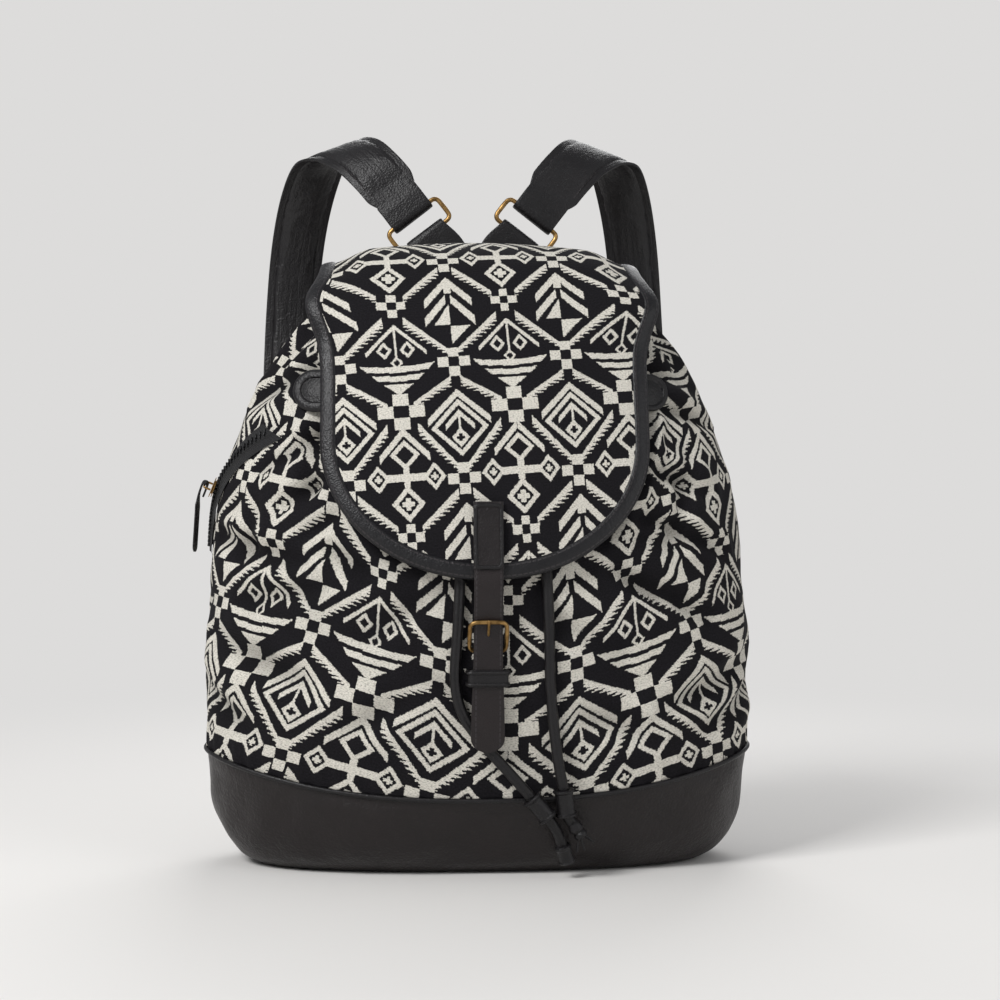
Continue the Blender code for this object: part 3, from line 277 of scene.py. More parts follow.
@dataclass
class Line:
    """A route with its running length, read at any share of that length.

    Args:
        points: Points of the route, close together.
        across: Width direction at each point.
        marks: Running length at each point, filled in by itself.
    """

    points: list[Vector]
    across: list[Vector]
    marks: list[float] = field(default_factory=lambda: [0.0])

    def __post_init__(self) -> None:
        """Add up the running length."""
        for a, b in zip(self.points, self.points[1:]):
            self.marks.append(self.marks[-1] + (b - a).length)

    @property
    def length(self) -> float:
        """Length of the whole route."""
        return self.marks[-1]

    def at(self, share: float) -> tuple[Vector, Vector, Vector]:
        """Read the route.

        Args:
            share: Share of the length, from 0 to 1.

        Returns:
            Point, width direction and outward direction there.
        """
        want = share * self.length
        k = min(len(self.points) - 2, max(0, sum(1 for m in self.marks[1:-1] if m < want)))
        span = self.marks[k + 1] - self.marks[k]
        t = (want - self.marks[k]) / span if span > 0 else 0.0
        before = (self.points[k] - self.points[max(k - 1, 0)]) if k else self.points[1] - self.points[0]
        ahead = self.points[min(k + 2, len(self.points) - 1)] - self.points[k + 1]
        middle = self.points[k + 1] - self.points[k]
        start = (before.normalized() + middle.normalized()).normalized()
        end = (ahead.normalized() + middle.normalized()).normalized() if ahead.length > 0 else middle.normalized()
        along = start.lerp(end, t).normalized()
        wide = self.across[k].lerp(self.across[k + 1], t)
        wide = (wide - along * wide.dot(along)).normalized()
        return self.points[k].lerp(self.points[k + 1], t), wide, along.cross(wide)


def even_line(points: list[Vector], across: Vector) -> Line:
    """Line with the same width direction all along it."""
    return Line(points, [across] * len(points))


def edit_all(piece: bpy.types.Object, *steps: Callable[[], Any]) -> None:
    """Run edit mode steps on every vertex of one piece.

    Args:
        piece: The piece to edit.
        steps: Calls to make in edit mode, in order.
    """
    bpy.ops.object.select_all(action="DESELECT")
    bpy.context.view_layer.objects.active = piece
    piece.select_set(True)
    bpy.ops.object.mode_set(mode="EDIT")
    bpy.ops.mesh.select_all(action="SELECT")
    for step in steps:
        step()
    bpy.ops.object.mode_set(mode="OBJECT")


def shape_with(piece: bpy.types.Object, kind: str, **settings: Any) -> bpy.types.Object:
    """Add a modifier to a piece and apply it.

    Args:
        piece: The piece to shape.
        kind: Type of the modifier.
        settings: Its properties.

    Returns:
        The same piece.
    """
    bpy.ops.object.select_all(action="DESELECT")
    bpy.context.view_layer.objects.active = piece
    piece.select_set(True)
    modifier = piece.modifiers.new(kind.lower(), kind)
    for key, value in settings.items():
        setattr(modifier, key, value)
    bpy.ops.object.modifier_apply(modifier=modifier.name)
    return piece


def wrap_grid(name: str, columns: int, rows: int, place: Surface, flat: Flat, closed: bool = False,
              capped: bool = False) -> bpy.types.Object:
    """Lay a grid primitive over a surface, with a flat UV map in metres.

    Args:
        name: Name of the piece.
        columns: Faces across.
        rows: Faces along.
        place: Point at shares across and along.
        flat: Flat place of the cloth at those shares, in metres.
        closed: True joins the two sides, as round a tube.
        capped: True closes the open ends of a tube.

    Returns:
        The new object.
    """
    bpy.ops.object.select_all(action="DESELECT")
    bpy.ops.mesh.primitive_grid_add(x_subdivisions=columns, y_subdivisions=rows, size=2.0)
    piece = bpy.context.object
    piece.name = piece.data.name = name
    mesh = piece.data
    shares = [(round((v.co.x + 1.0) / 2.0, 6), round((v.co.y + 1.0) / 2.0, 6)) for v in mesh.vertices]
    for vertex, share in zip(mesh.vertices, shares):
        vertex.co = place(*share)
    layer = mesh.uv_layers[0]
    layer.name = "flat"
    for loop in mesh.loops:
        layer.data[loop.index].uv = flat(*shares[loop.vertex_index])
    if closed:
        edit_all(piece, lambda: bpy.ops.mesh.remove_doubles(threshold=1e-6))
    if capped:
        edit_all(piece, lambda: bpy.ops.mesh.select_all(action="DESELECT"),
                 lambda: bpy.ops.mesh.select_non_manifold(),
                 lambda: bpy.ops.mesh.fill())
    edit_all(piece, lambda: bpy.ops.mesh.normals_make_consistent(inside=False))
    piece.data.shade_smooth()
    return piece


def finish_piece(piece: bpy.types.Object, material: bpy.types.Material, slot: Slot, *nodes: str,
                 sharp: float = 40.0) -> bpy.types.Object:
    """Dress a piece and let it stand for CAD nodes.

    Args:
        piece: The new object.
        material: Its finish.
        slot: The record's slot; not used.
        nodes: CAD nodes that it replaces.
        sharp: Angle in degrees over which edges stay sharp.

    Returns:
        The same object.
    """
    piece.data.materials.clear()
    piece.data.materials.append(material)
    if piece.type == "MESH":
        piece.data.shade_smooth()
        piece.data.set_sharp_from_angle(angle=math.radians(sharp))
    if nodes:
        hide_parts(*nodes)
    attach(piece, "bag")
    LOG.info("%s stands for %s", piece.name, ", ".join(nodes) or "no CAD node")
    return piece


def strip(name: str, line: Line, width: Along, thickness: Along, steps: int, around: int = 20,
          power: float = 5.0) -> bpy.types.Object:
    """A strap along a line, with softly rounded edges.

    Args:
        name: Name of the piece.
        line: Its middle line.
        width: Width, or a function of the share of the length.
        thickness: Thickness, or a function of the share of the length.
        steps: Faces along it.
        around: Faces around its section.
        power: 2 for a round section, higher for a flatter one.

    Returns:
        The new object, closed at both ends.
    """
    def size(value: Along, t: float) -> float:
        """Width or thickness at a share of the length."""
        return value(t) if callable(value) else value

    def place(s: float, t: float) -> Vector:
        """Point of the strap's skin at shares round and along."""
        point, wide, out = line.at(t)
        turn = math.tau * s
        return (point + wide * (signed_power(math.cos(turn), 2.0 / power) * size(width, t) / 2.0)
                + out * (signed_power(math.sin(turn), 2.0 / power) * size(thickness, t) / 2.0))

    def flat(s: float, t: float) -> Pair:
        """Place across and along the flat strap."""
        turn = math.tau * s
        return signed_power(math.cos(turn), 2.0 / power) * size(width, t) / 2.0, t * line.length

    return wrap_grid(name, around, steps, place, flat, closed=True, capped=True)


class Weaver:
    """Node tree of one material."""

    def __init__(self, name: str) -> None:
        """Start a material with this name."""
        self.material = bpy.data.materials.new(name)
        self.material.use_nodes = True
        self.tree = self.material.node_tree
        self.shader = self.tree.nodes["Principled BSDF"]

    def add(self, kind: str, *values: Any, output: int | str = 0, named: dict[int | str, Any] | None = None,
            stops: Sequence[tuple[float, str]] = (), **settings: Any) -> Socket:
        """Add a node with settings and links.

        Args:
            kind: Node type without its ShaderNode prefix, and its operation after a space.
            values: Constants or sockets for the inputs in order; None skips one.
            output: The output socket that is returned.
            named: Constants or sockets by the input's name or number.
            stops: Places and hex codes of a colour ramp.
            settings: Properties of the node.

        Returns:
            The chosen output socket.
        """
        kind, _, operation = kind.partition(" ")
        node = self.tree.nodes.new("ShaderNode" + kind)
        if operation:
            node.operation = operation
        for key, value in settings.items():
            setattr(node, key, value)
        for stop, (at, code) in zip(node.color_ramp.elements if stops else (), stops):
            stop.position, stop.color = at, colour(code)
        for key, value in [*enumerate(values), *(named or {}).items()]:
            if isinstance(value, Socket):
                self.tree.links.new(value, node.inputs[key])
            elif value is not None:
                node.inputs[key].default_value = value
        return node.outputs[output]

    def join(self, *masks: Socket) -> Socket:
        """Union of masks."""
        result = masks[0]
        for mask in masks[1:]:
            result = self.add("Math MAXIMUM", result, mask)
        return result

    def set(self, **sockets: Any) -> None:
        """Put constants or links on the shader's own sockets; a low dash in a name stands for a space."""
        for key, value in sockets.items():
            target = self.shader.inputs[key.replace("_", " ")]
            if isinstance(value, Socket):
                self.tree.links.new(value, target)
            else:
                target.default_value = value

    def place_mm(self, layer: str = "") -> Socket:
        """Place in millimetres.

        Args:
            layer: A UV map in metres; empty for object coordinates.

        Returns:
            The scaled coordinates.
        """
        source = self.add("UVMap", uv_map=layer) if layer else self.add("TexCoord", output="Object")
        return self.add("VectorMath MULTIPLY", source, (MILLIMETRES,) * 3)


class Jacquard:
    """Cream motifs woven into black canvas, from the cloth's flat coordinates in millimetres.

    Columns P and Q alternate every 35.5 mm and mirror on their own axes; rows repeat every 151.5 mm.
    """

    COLUMN = 35.5
    REPEAT = 151.5

    def __init__(self, weaver: Weaver, across: Socket, down: Socket) -> None:
        """Set up the mirrored columns.

        Args:
            weaver: Node tree that the motifs are drawn in.
            across: Millimetres across the cloth.
            down: Millimetres down the cloth.
        """
        self.w = weaver
        self.side = self.w.add("Math WRAP", across, 2.0 * self.COLUMN, 0.0)
        self.p = self.w.add("Math PINGPONG", across, self.COLUMN)
        self.q = self.w.add("Math SUBTRACT", self.COLUMN, self.p)
        self.down = down

    def rows(self, centre: float) -> Socket:
        """Distance down from a motif's own centre row."""
        moved = self.w.add("Math SUBTRACT", self.down, centre)
        return self.w.add("Math WRAP", moved, self.REPEAT / 2.0, -self.REPEAT / 2.0)

    def axes(self, x: Socket, centre: float) -> Socket:
        """Local coordinates of a motif."""
        return self.w.add("CombineXYZ", x, self.rows(centre))

    def reach(self, at: Socket, centre: Pair, half: Pair,
              box: bool = False) -> Socket:
        """Distance from a centre in half sizes.

        Args:
            at: Local coordinates.
            centre: Centre of the shape.
            half: Half sizes of the shape.
            box: True measures a box, False a diamond.

        Returns:
            The distance, which is 1 on the shape's edge.
        """
        moved = self.w.add("VectorMath SUBTRACT", at, (*centre, 0.0))
        size = self.w.add("VectorMath ABSOLUTE", moved)
        shares = (1.0 / half[0], 1.0 / half[1], 0.0)
        if not box:
            return self.w.add("VectorMath DOT_PRODUCT", size, shares, output="Value")
        scaled = self.w.add("VectorMath MULTIPLY", size, shares)
        parts = self.w.add("SeparateXYZ", scaled)
        return self.w.add("Math MAXIMUM", parts, parts.node.outputs[1])

    def inside(self, reach: Socket, size: float = 1.0) -> Socket:
        """Mask of a shape scaled by size."""
        return self.w.add("Math LESS_THAN", reach, size)

    def ring(self, reach: Socket, hole: float) -> Socket:
        """Mask of a shape with a hole of that share."""
        return self.w.add("Math SUBTRACT", self.inside(reach), self.inside(reach, hole))

    def solid(self, at: Socket, centre: Pair, half: Pair,
              box: bool = True) -> Socket:
        """Mask of a filled box or diamond."""
        return self.inside(self.reach(at, centre, half, box))

    def checker(self, at: Socket, half: Pair) -> Socket:
        """Four squares round a dark one."""
        a, b = half
        return self.w.join(self.solid(at, (0.0, 2.0 * b), (a, b)), self.solid(at, (0.0, -2.0 * b), (a, b)),
                           self.solid(at, (2.0 * a, 0.0), (a, b)))

    def leaning(self, at: Socket, slope: float, bend: float = 0.0) -> Socket:
        """Coordinates whose rows lean with the distance from the axis.

        Args:
            at: Local coordinates.
            slope: Fall of a row for each millimetre from the axis.
            bend: Fall for each square millimetre.

        Returns:
            The leaning coordinates.
        """
        parts = self.w.add("SeparateXYZ", at)
        low = self.w.add("Math MULTIPLY_ADD", parts, -slope, parts.node.outputs[1])
        if bend:
            low = self.w.add("Math MULTIPLY_ADD", self.w.add("Math MULTIPLY", parts, parts), -bend, low)
        return self.w.add("CombineXYZ", parts, low)

    def roof(self, at: Socket, apex: float, slope: float, half: float, thick: float,
             start: float = 0.0) -> Socket:
        """Mask of an inverted V.

        Args:
            at: Local coordinates.
            apex: Height of its apex.
            slope: Fall of its arms.
            half: Half width that the arms reach.
            thick: Thickness of an arm, measured down.
            start: Half width of a gap at the apex.

        Returns:
            The mask.
        """
        lean = self.leaning(at, slope)
        middle, reach = (start + half) / 2.0, (half - start) / 2.0
        return self.solid(lean, (middle, apex + thick / 2.0), (reach, thick / 2.0))

    def toothed(self, x: Socket, start: Pair, end: Pair,
                thick: float, tooth: float) -> Socket:
        """Mask of a slanting bar whose lower edge is cut into teeth.

        Args:
            x: Distance from the column's axis.
            start: Where the bar's upper edge starts.
            end: Where it ends.
            thick: Thickness of the bar, measured down.
            tooth: Distance between teeth.

        Returns:
            The mask.
        """
        centre = (start[1] + end[1]) / 2.0
        at = self.axes(x, centre)
        slope = (end[1] - start[1]) / (end[0] - start[0])
        lean = self.w.add("SeparateXYZ", self.leaning(at, slope))
        under = self.w.add("Math ADD", lean.node.outputs[1], slope * (start[0] + end[0]) / 2.0)
        rows = self.w.add("SeparateXYZ", at)
        ragged = self.w.add("Math MULTIPLY_ADD", rows, 0.35, rows.node.outputs[1])
        notch = self.w.add("Math FRACT", self.w.add("Math DIVIDE", ragged, tooth))
        along = self.w.add("Math DIVIDE", self.w.add("Math SUBTRACT", rows, start[0]), end[0] - start[0])
        swell = self.w.add("Math MULTIPLY_ADD", along, -0.45 * thick, 1.25 * thick)
        depth = self.w.add("Math MULTIPLY_ADD", notch, -0.62, 1.0)
        low = self.w.add("Math LESS_THAN", under, self.w.add("Math MULTIPLY", swell, depth))
        high = self.w.add("Math GREATER_THAN", under, 0.0)
        reach = self.w.add("Math COMPARE", along, 0.5, 0.5)
        return self.w.add("Math MULTIPLY", reach, self.w.add("Math MULTIPLY", low, high))

    def flower(self, at: Socket, centre: Pair, size: float) -> Socket:
        """Mask of four petals."""
        thin = size * 0.38
        return self.w.join(self.solid(at, centre, (size, thin)), self.solid(at, centre, (thin, size)))

    def pendulum(self) -> Socket:
        """Inverted V with a stem, three small hollow diamonds, two boats and a triangle.

        Returns:
            The mask.
        """
        at = self.axes(self.p, 35.0)
        boat = self.leaning(at, 0.0, -0.0035)
        hull = self.inside(self.reach(boat, (0.0, -6.5), (39.0, 34.0)))
        boats = self.w.join(self.solid(boat, (0.0, 8.8), (24.0, 1.9)), self.solid(boat, (0.0, 14.9), (19.0, 1.8)))
        triangle = self.inside(self.reach(at, (0.0, 19.0), (9.0, 7.0)))
        below = self.solid(at, (0.0, 24.0), (12.0, 5.0))
        return self.w.join(
            self.roof(at, -22.0, 0.98, 19.0, 3.0), self.solid(at, (0.0, -10.5), (0.8, 11.0)),
            self.ring(self.reach(at, (0.0, 4.2), (3.9, 4.6)), 0.55),
            self.ring(self.reach(at, (7.2, -4.5), (4.9, 5.9)), 0.52),
            self.w.add("Math MULTIPLY", boats, hull), self.w.add("Math MULTIPLY", triangle, below))

    def nested(self) -> Socket:
        """Open roof, hollow diamond, inner roof, and a hanging square with a flower in it.

        Returns:
            The mask.
        """
        at = self.axes(self.q, 83.0)
        small = self.reach(at, (0.0, 8.0), (5.6, 6.4))
        return self.w.join(
            self.roof(at, -23.5, 0.96, 19.5, 4.8), self.ring(self.reach(at, (0.0, 1.5), (18.0, 18.5)), 0.79),
            self.roof(at, -10.0, 1.05, 9.0, 3.8), self.solid(at, (0.0, -1.5), (0.7, 6.0)),
            self.w.add("Math SUBTRACT", self.inside(small), self.flower(at, (0.0, 8.0), 2.6)))

    def cross(self) -> Socket:
        """Roof, hollow diamond, arms to two side diamonds, and a lower diamond with a flower.

        Returns:
            The mask.
        """
        at = self.axes(self.p, 108.0)
        return self.w.join(
            self.roof(at, -25.5, 1.10, 15.5, 5.0), self.ring(self.reach(at, (0.0, -8.2), (9.4, 9.6)), 0.62),
            self.solid(at, (0.0, 6.4), (12.5, 2.5)), self.solid(at, (0.0, 6.0), (1.9, 6.5)),
            self.ring(self.reach(at, (17.4, 6.4), (7.1, 8.8)), 0.60), self.flower(at, (17.4, 6.4), 2.2),
            self.ring(self.reach(at, (0.0, 22.6), (10.4, 11.4)), 0.63), self.flower(at, (0.0, 22.6), 3.9))

    def tree(self) -> Socket:
        """Arrow of two roofs, with a triangle beside its stem and another one below.

        Returns:
            The mask.
        """
        at = self.axes(self.q, 4.0)
        left = self.w.add("Math LESS_THAN", self.side, self.COLUMN)
        right = self.w.add("Math SUBTRACT", 1.0, left)
        upper = self.inside(self.reach(at, (0.0, 11.5), (10.0, 14.0)))
        lower = self.inside(self.reach(at, (0.0, 12.5), (12.5, 12.5)))
        upper = self.w.add("Math MULTIPLY", upper, self.solid(at, (0.0, 4.5), (12.0, 7.0)))
        lower = self.w.add("Math MULTIPLY", lower, self.solid(at, (0.0, 18.5), (13.0, 6.0)))
        return self.w.join(
            self.roof(at, -23.5, 1.12, 15.0, 6.2), self.solid(at, (0.0, -16.0), (2.3, 5.0)),
            self.roof(at, -11.5, 1.12, 15.8, 6.2, start=1.6),
            self.w.add("Math MULTIPLY", upper, left), self.w.add("Math MULTIPLY", lower, right))

    def mask(self) -> Socket:
        """1 where the weave shows cream yarn.

        Returns:
            The mask.
        """
        return self.w.join(
            self.checker(self.axes(self.p, 0.0), (2.7, 2.8)), self.checker(self.axes(self.p, 72.0), (4.9, 3.9)),
            self.checker(self.axes(self.q, 41.0), (3.4, 3.2)), self.checker(self.axes(self.q, 117.0), (3.4, 3.3)),
            self.pendulum(), self.nested(), self.cross(), self.tree(),
            self.toothed(self.p, (6.0, 8.0), (32.5, 32.0), 7.0, 3.4),
            self.toothed(self.q, (3.0, 50.5), (27.5, 66.5), 6.0, 3.2),
            self.toothed(self.p, (9.5, 79.5), (33.5, 109.0), 7.6, 3.6),
            self.toothed(self.q, (4.5, 123.0), (28.0, 144.5), 7.4, 3.4))


@dataclass(frozen=True)
class PatternedCanvas:
    """Cotton canvas with cream motifs woven into black, slub yarn, a coarse surface, and painted shade that darkens the
    weave in crease valleys.
    """

    name: str
    cream: tuple[str, str] = ("#8d8a80", "#d6d2c8")
    black: tuple[str, str] = ("#0d0c0f", "#1b191d")
    yarn_mm: Pair = (0.45, 0.6)
    slub_mm: float = 1.1

    def make(self) -> bpy.types.Material:
        """Build its nodes.

        Returns:
            The material.
        """
        w = Weaver(self.name)
        place = w.place_mm("flat")
        wander = w.add("TexNoise", named={"Vector": place, "Scale": 1.1, "Detail": 1.0}, output="Color")
        shift = w.add("VectorMath SUBTRACT", wander, (0.5, 0.5, 0.5))
        moved = w.add("VectorMath MULTIPLY_ADD", shift, (1.5, 1.1, 0.0), place)
        parts = w.add("SeparateXYZ", w.add("VectorMath SNAP", moved, (*self.yarn_mm, 1.0)))
        mask = Jacquard(w, parts, parts.node.outputs[1]).mask()
        drawn = w.add("VectorMath MULTIPLY", place, (1.0, 2.2, 1.0))
        slub = w.add("TexNoise", named={"Vector": drawn, "Scale": 1.0 / self.slub_mm, "Detail": 4.0}, output="Fac")
        soil = w.add("TexNoise", named={"Vector": place, "Scale": 1.0 / 38.0}, output="Fac")
        lint = w.add("TexNoise", named={"Vector": place, "Scale": 1.0 / 0.9}, output="Fac")
        cream = w.add("ValToRGB", slub, stops=((0.32, self.cream[0]), (0.53, self.cream[1])))
        black = w.add("ValToRGB", lint, stops=((0.35, self.black[0]), (0.75, self.black[1])))
        both = w.add("Mix", named={0: mask, 6: black, 7: cream}, output=2, data_type="RGBA")
        # Painted shade: the fold attribute darkens the weave by up to 0.45 in value in the crease valleys; the soil
        # noise beside it is random tone.
        fold = w.add("Attribute", output="Fac", attribute_name="fold")
        worn = w.add("Math MULTIPLY_ADD", fold, -0.45, w.add("Math MULTIPLY_ADD", soil, 0.20, 0.90))
        dull = w.add("HueSaturation", named={"Color": both, "Value": worn})
        ribs = w.add("TexWave", named={"Vector": place, "Scale": 1.0 / 6.0, "Distortion": 2.0, "Detail": 1.0},
                     output="Fac", bands_direction="Y")
        height = w.add("Math MULTIPLY_ADD", slub, 0.8, w.add("Math MULTIPLY", ribs, 0.25))
        bumped = w.add("Bump", named={"Height": height, "Distance": 0.00045, "Strength": 0.7})
        w.set(Base_Color=dull, Roughness=0.88, Normal=bumped, Specular_IOR_Level=0.18)
        return w.material


@dataclass(frozen=True)
class PlainCloth:
    """Plain woven lining or thread."""

    name: str
    tone: str
    rough: float

    def make(self) -> bpy.types.Material:
        """Build its nodes.

        Returns:
            The material.
        """
        w = Weaver(self.name)
        fine = w.add("TexNoise", named={"Vector": w.place_mm(), "Scale": 1.0 / 0.8}, output="Fac")
        value = w.add("Math MULTIPLY_ADD", fine, 0.5, 0.75)
        w.set(Base_Color=w.add("HueSaturation", named={"Color": colour(self.tone), "Value": value}),
              Roughness=self.rough, Normal=w.add("Bump", named={"Height": fine, "Distance": 0.0002}))
        return w.material


@dataclass(frozen=True)
class RibbedTape:
    """Tightly woven tape with ribs across it."""

    name: str
    tone: str
    rib_mm: float = 1.4

    def make(self) -> bpy.types.Material:
        """Build its nodes.

        Returns:
            The material.
        """
        w = Weaver(self.name)
        ribs = w.add("TexWave", named={"Vector": w.place_mm("flat"), "Scale": 0.314 / self.rib_mm, "Distortion": 1.2},
                     output="Fac", bands_direction="Y")
        value = w.add("Math MULTIPLY_ADD", ribs, 0.5, 0.8)
        w.set(Base_Color=w.add("HueSaturation", named={"Color": colour(self.tone), "Value": value}), Roughness=0.8,
              Normal=w.add("Bump", named={"Height": ribs, "Distance": 0.00035}), Sheen_Weight=0.05)
        return w.material


@dataclass(frozen=True)
class Hide:
    """Grained leather: pebbles, mottling, rubbed high spots, creases along a strap and a row of stitches.

    Args:
        name: Name of the material.
        tone: Colour as a hex code.
        rough: Middle roughness.
        stitch_mm: Distance of the stitches from the strap's middle line; 0 for none.
        creased: Share of long creases along the strap.
        grain_mm: Width of a pebble.
        wrinkled: Share of broad soft wrinkles.
    """

    name: str
    tone: str
    rough: float
    stitch_mm: float = 0.0
    creased: float = 0.0
    grain_mm: float = 1.25
    wrinkled: float = 1.0

    def make(self) -> bpy.types.Material:
        """Build its nodes.

        Returns:
            The material.
        """
        w = Weaver(self.name)
        place = w.place_mm()
        pebble = w.add("TexVoronoi", named={"Vector": place, "Scale": 1.0 / self.grain_mm, "Smoothness": 0.4},
                       output="Distance", feature="SMOOTH_F1")
        fine = w.add("TexNoise", named={"Vector": place, "Scale": 1.0 / 0.6, "Detail": 3.0}, output="Fac")
        mottle = w.add("TexNoise", named={"Vector": place, "Scale": 1.0 / 22.0, "Detail": 3.0}, output="Fac")
        wrinkle = w.add("TexNoise", named={"Vector": place, "Scale": 1.0 / 7.0, "Detail": 4.0, "Distortion": 0.8},
                        output="Fac")
        value = w.add("Math MULTIPLY_ADD", mottle, 0.7, w.add("Math MULTIPLY_ADD", fine, 0.35, 0.52))
        tone = w.add("HueSaturation", named={"Color": colour(self.tone), "Value": value})
        height = w.add("Math MULTIPLY_ADD", pebble, -0.9, w.add("Math MULTIPLY", fine, 0.3))
        height = w.add("Math MULTIPLY_ADD", wrinkle, 1.4 * self.wrinkled, height)
        shine = w.add("Math MULTIPLY_ADD", mottle, 0.26, w.add("Math MULTIPLY_ADD", pebble, 0.12, self.rough - 0.16))
        if self.stitch_mm or self.creased:
            flat = w.place_mm("flat")
            drawn = w.add("VectorMath MULTIPLY", flat, (1.0 / 2.2, 1.0 / 30.0, 1.0))
            long = w.add("TexNoise", named={"Vector": drawn, "Scale": 1.0, "Detail": 2.0}, output="Fac")
            height = w.add("Math MULTIPLY_ADD", long, 2.2 * self.creased, height)
        if self.stitch_mm:
            parts = w.add("SeparateXYZ", flat)
            away = w.add("Math ABSOLUTE", parts)
            row = w.add("Math COMPARE", away, self.stitch_mm, 0.42)
            step = w.add("Math FRACT", w.add("Math DIVIDE", parts.node.outputs[1], 3.4))
            stitch = w.add("Math MULTIPLY", row, w.add("Math LESS_THAN", step, 0.74))
            groove = w.add("Math MULTIPLY_ADD", w.add("Math COMPARE", away, self.stitch_mm, 0.85), -1.2, height)
            height = w.add("Math MULTIPLY_ADD", stitch, 2.0, groove)
            tone = w.add("Mix", named={0: w.add("Math MULTIPLY", stitch, 0.85), 6: tone, 7: colour("#2f2b2d")},
                         output=2, data_type="RGBA")
        bumped = w.add("Bump", named={"Height": height, "Distance": 0.00032, "Strength": 0.75})
        w.set(Base_Color=tone, Roughness=shine, Normal=bumped, Specular_IOR_Level=0.38)
        return w.material


@dataclass(frozen=True)
class AgedMetal:
    """Brass with dull tarnish in blots and fine scratches."""

    name: str
    bright: str
    dark: str

    def make(self) -> bpy.types.Material:
        """Build its nodes.

        Returns:
            The material.
        """
        w = Weaver(self.name)
        place = w.place_mm()
        tarnish = w.add("TexNoise", named={"Vector": place, "Scale": 1.0 / 4.5, "Detail": 4.0}, output="Fac")
        worn = w.add("ValToRGB", tarnish, stops=((0.32, self.dark), (0.60, self.bright)))
        drawn = w.add("VectorMath MULTIPLY", place, (6.0, 1.0, 1.0))
        scratch = w.add("TexNoise", named={"Vector": drawn, "Scale": 1.0 / 1.6}, output="Fac")
        w.set(Base_Color=worn, Metallic=1.0, Roughness=w.add("Math MULTIPLY_ADD", scratch, 0.26, 0.28),
              Normal=w.add("Bump", named={"Height": tarnish, "Distance": 0.00005}))
        return w.material


@dataclass(frozen=True)
class MouldedPlastic:
    """Moulded zip plastic with a slight cloudiness."""

    name: str
    tone: str

    def make(self) -> bpy.types.Material:
        """Build its nodes.

        Returns:
            The material.
        """
        w = Weaver(self.name)
        cloud = w.add("TexNoise", named={"Vector": w.place_mm(), "Scale": 0.5}, output="Fac")
        w.set(Base_Color=colour(self.tone), Roughness=w.add("Math MULTIPLY_ADD", cloud, 0.2, 0.32))
        return w.material


@dataclass(frozen=True)
class StudioPaint:
    """Pale floor paint that fades into the backdrop's own colour away from the bag."""

    name: str
    tone: str
    backdrop: str
    fade_m: Pair = (0.30, 1.30)

    def make(self) -> bpy.types.Material:
        """Build its nodes.

        Returns:
            The material.
        """
        w = Weaver(self.name)
        w.set(Base_Color=colour(self.tone), Roughness=0.85)
        away = w.add("VectorMath LENGTH", w.add("TexCoord", output="Object"), output="Value")
        fade = w.add("MapRange", away, *self.fade_m, interpolation_type="SMOOTHSTEP")
        seen = w.add("Math MULTIPLY", fade, w.add("LightPath", output="Is Camera Ray"))
        plain = w.add("Emission", colour(self.backdrop), 1.0)
        mixed = w.add("MixShader", seen, w.shader.outputs[0], plain)
        w.tree.links.new(mixed, w.tree.nodes["Material Output"].inputs["Surface"])
        return w.material


class Finishes:
    """Every material of the bag."""

    def __init__(self) -> None:
        """Make the materials once, for all pieces to share."""
        self.canvas = PatternedCanvas("jacquard_canvas").make()
        self.lining = PlainCloth("black_lining", "#1a191c", 0.9).make()
        self.webbing = RibbedTape("ribbed_webbing", "#111113").make()
        self.zip_tape = RibbedTape("zip_tape_cloth", "#0b0b0d").make()
        self.leather = Hide("satin_leather", "#0e0c0e", 0.40).make()
        self.base_leather = Hide("base_leather", "#150f0f", 0.40, grain_mm=1.6, wrinkled=2.2).make()
        self.patch_leather = Hide("stitched_leather", "#151011", 0.40, stitch_mm=7.2).make()
        self.tail_leather = Hide("tail_leather", "#181112", 0.38, stitch_mm=7.5, grain_mm=0.9).make()
        self.edge_leather = Hide("strap_edge_leather", "#100e10", 0.42, creased=1.0).make()
        self.pad_leather = Hide("padded_leather", "#100e10", 0.40, stitch_mm=14.4, creased=0.9, wrinkled=1.5).make()
        self.binding = Hide("binding_leather", "#100f12", 0.38, stitch_mm=3.3, wrinkled=1.3).make()
        self.brass = AgedMetal("aged_brass", "#a88654", "#6d5432").make()
        self.teeth = MouldedPlastic("zip_teeth_plastic", "#121214").make()


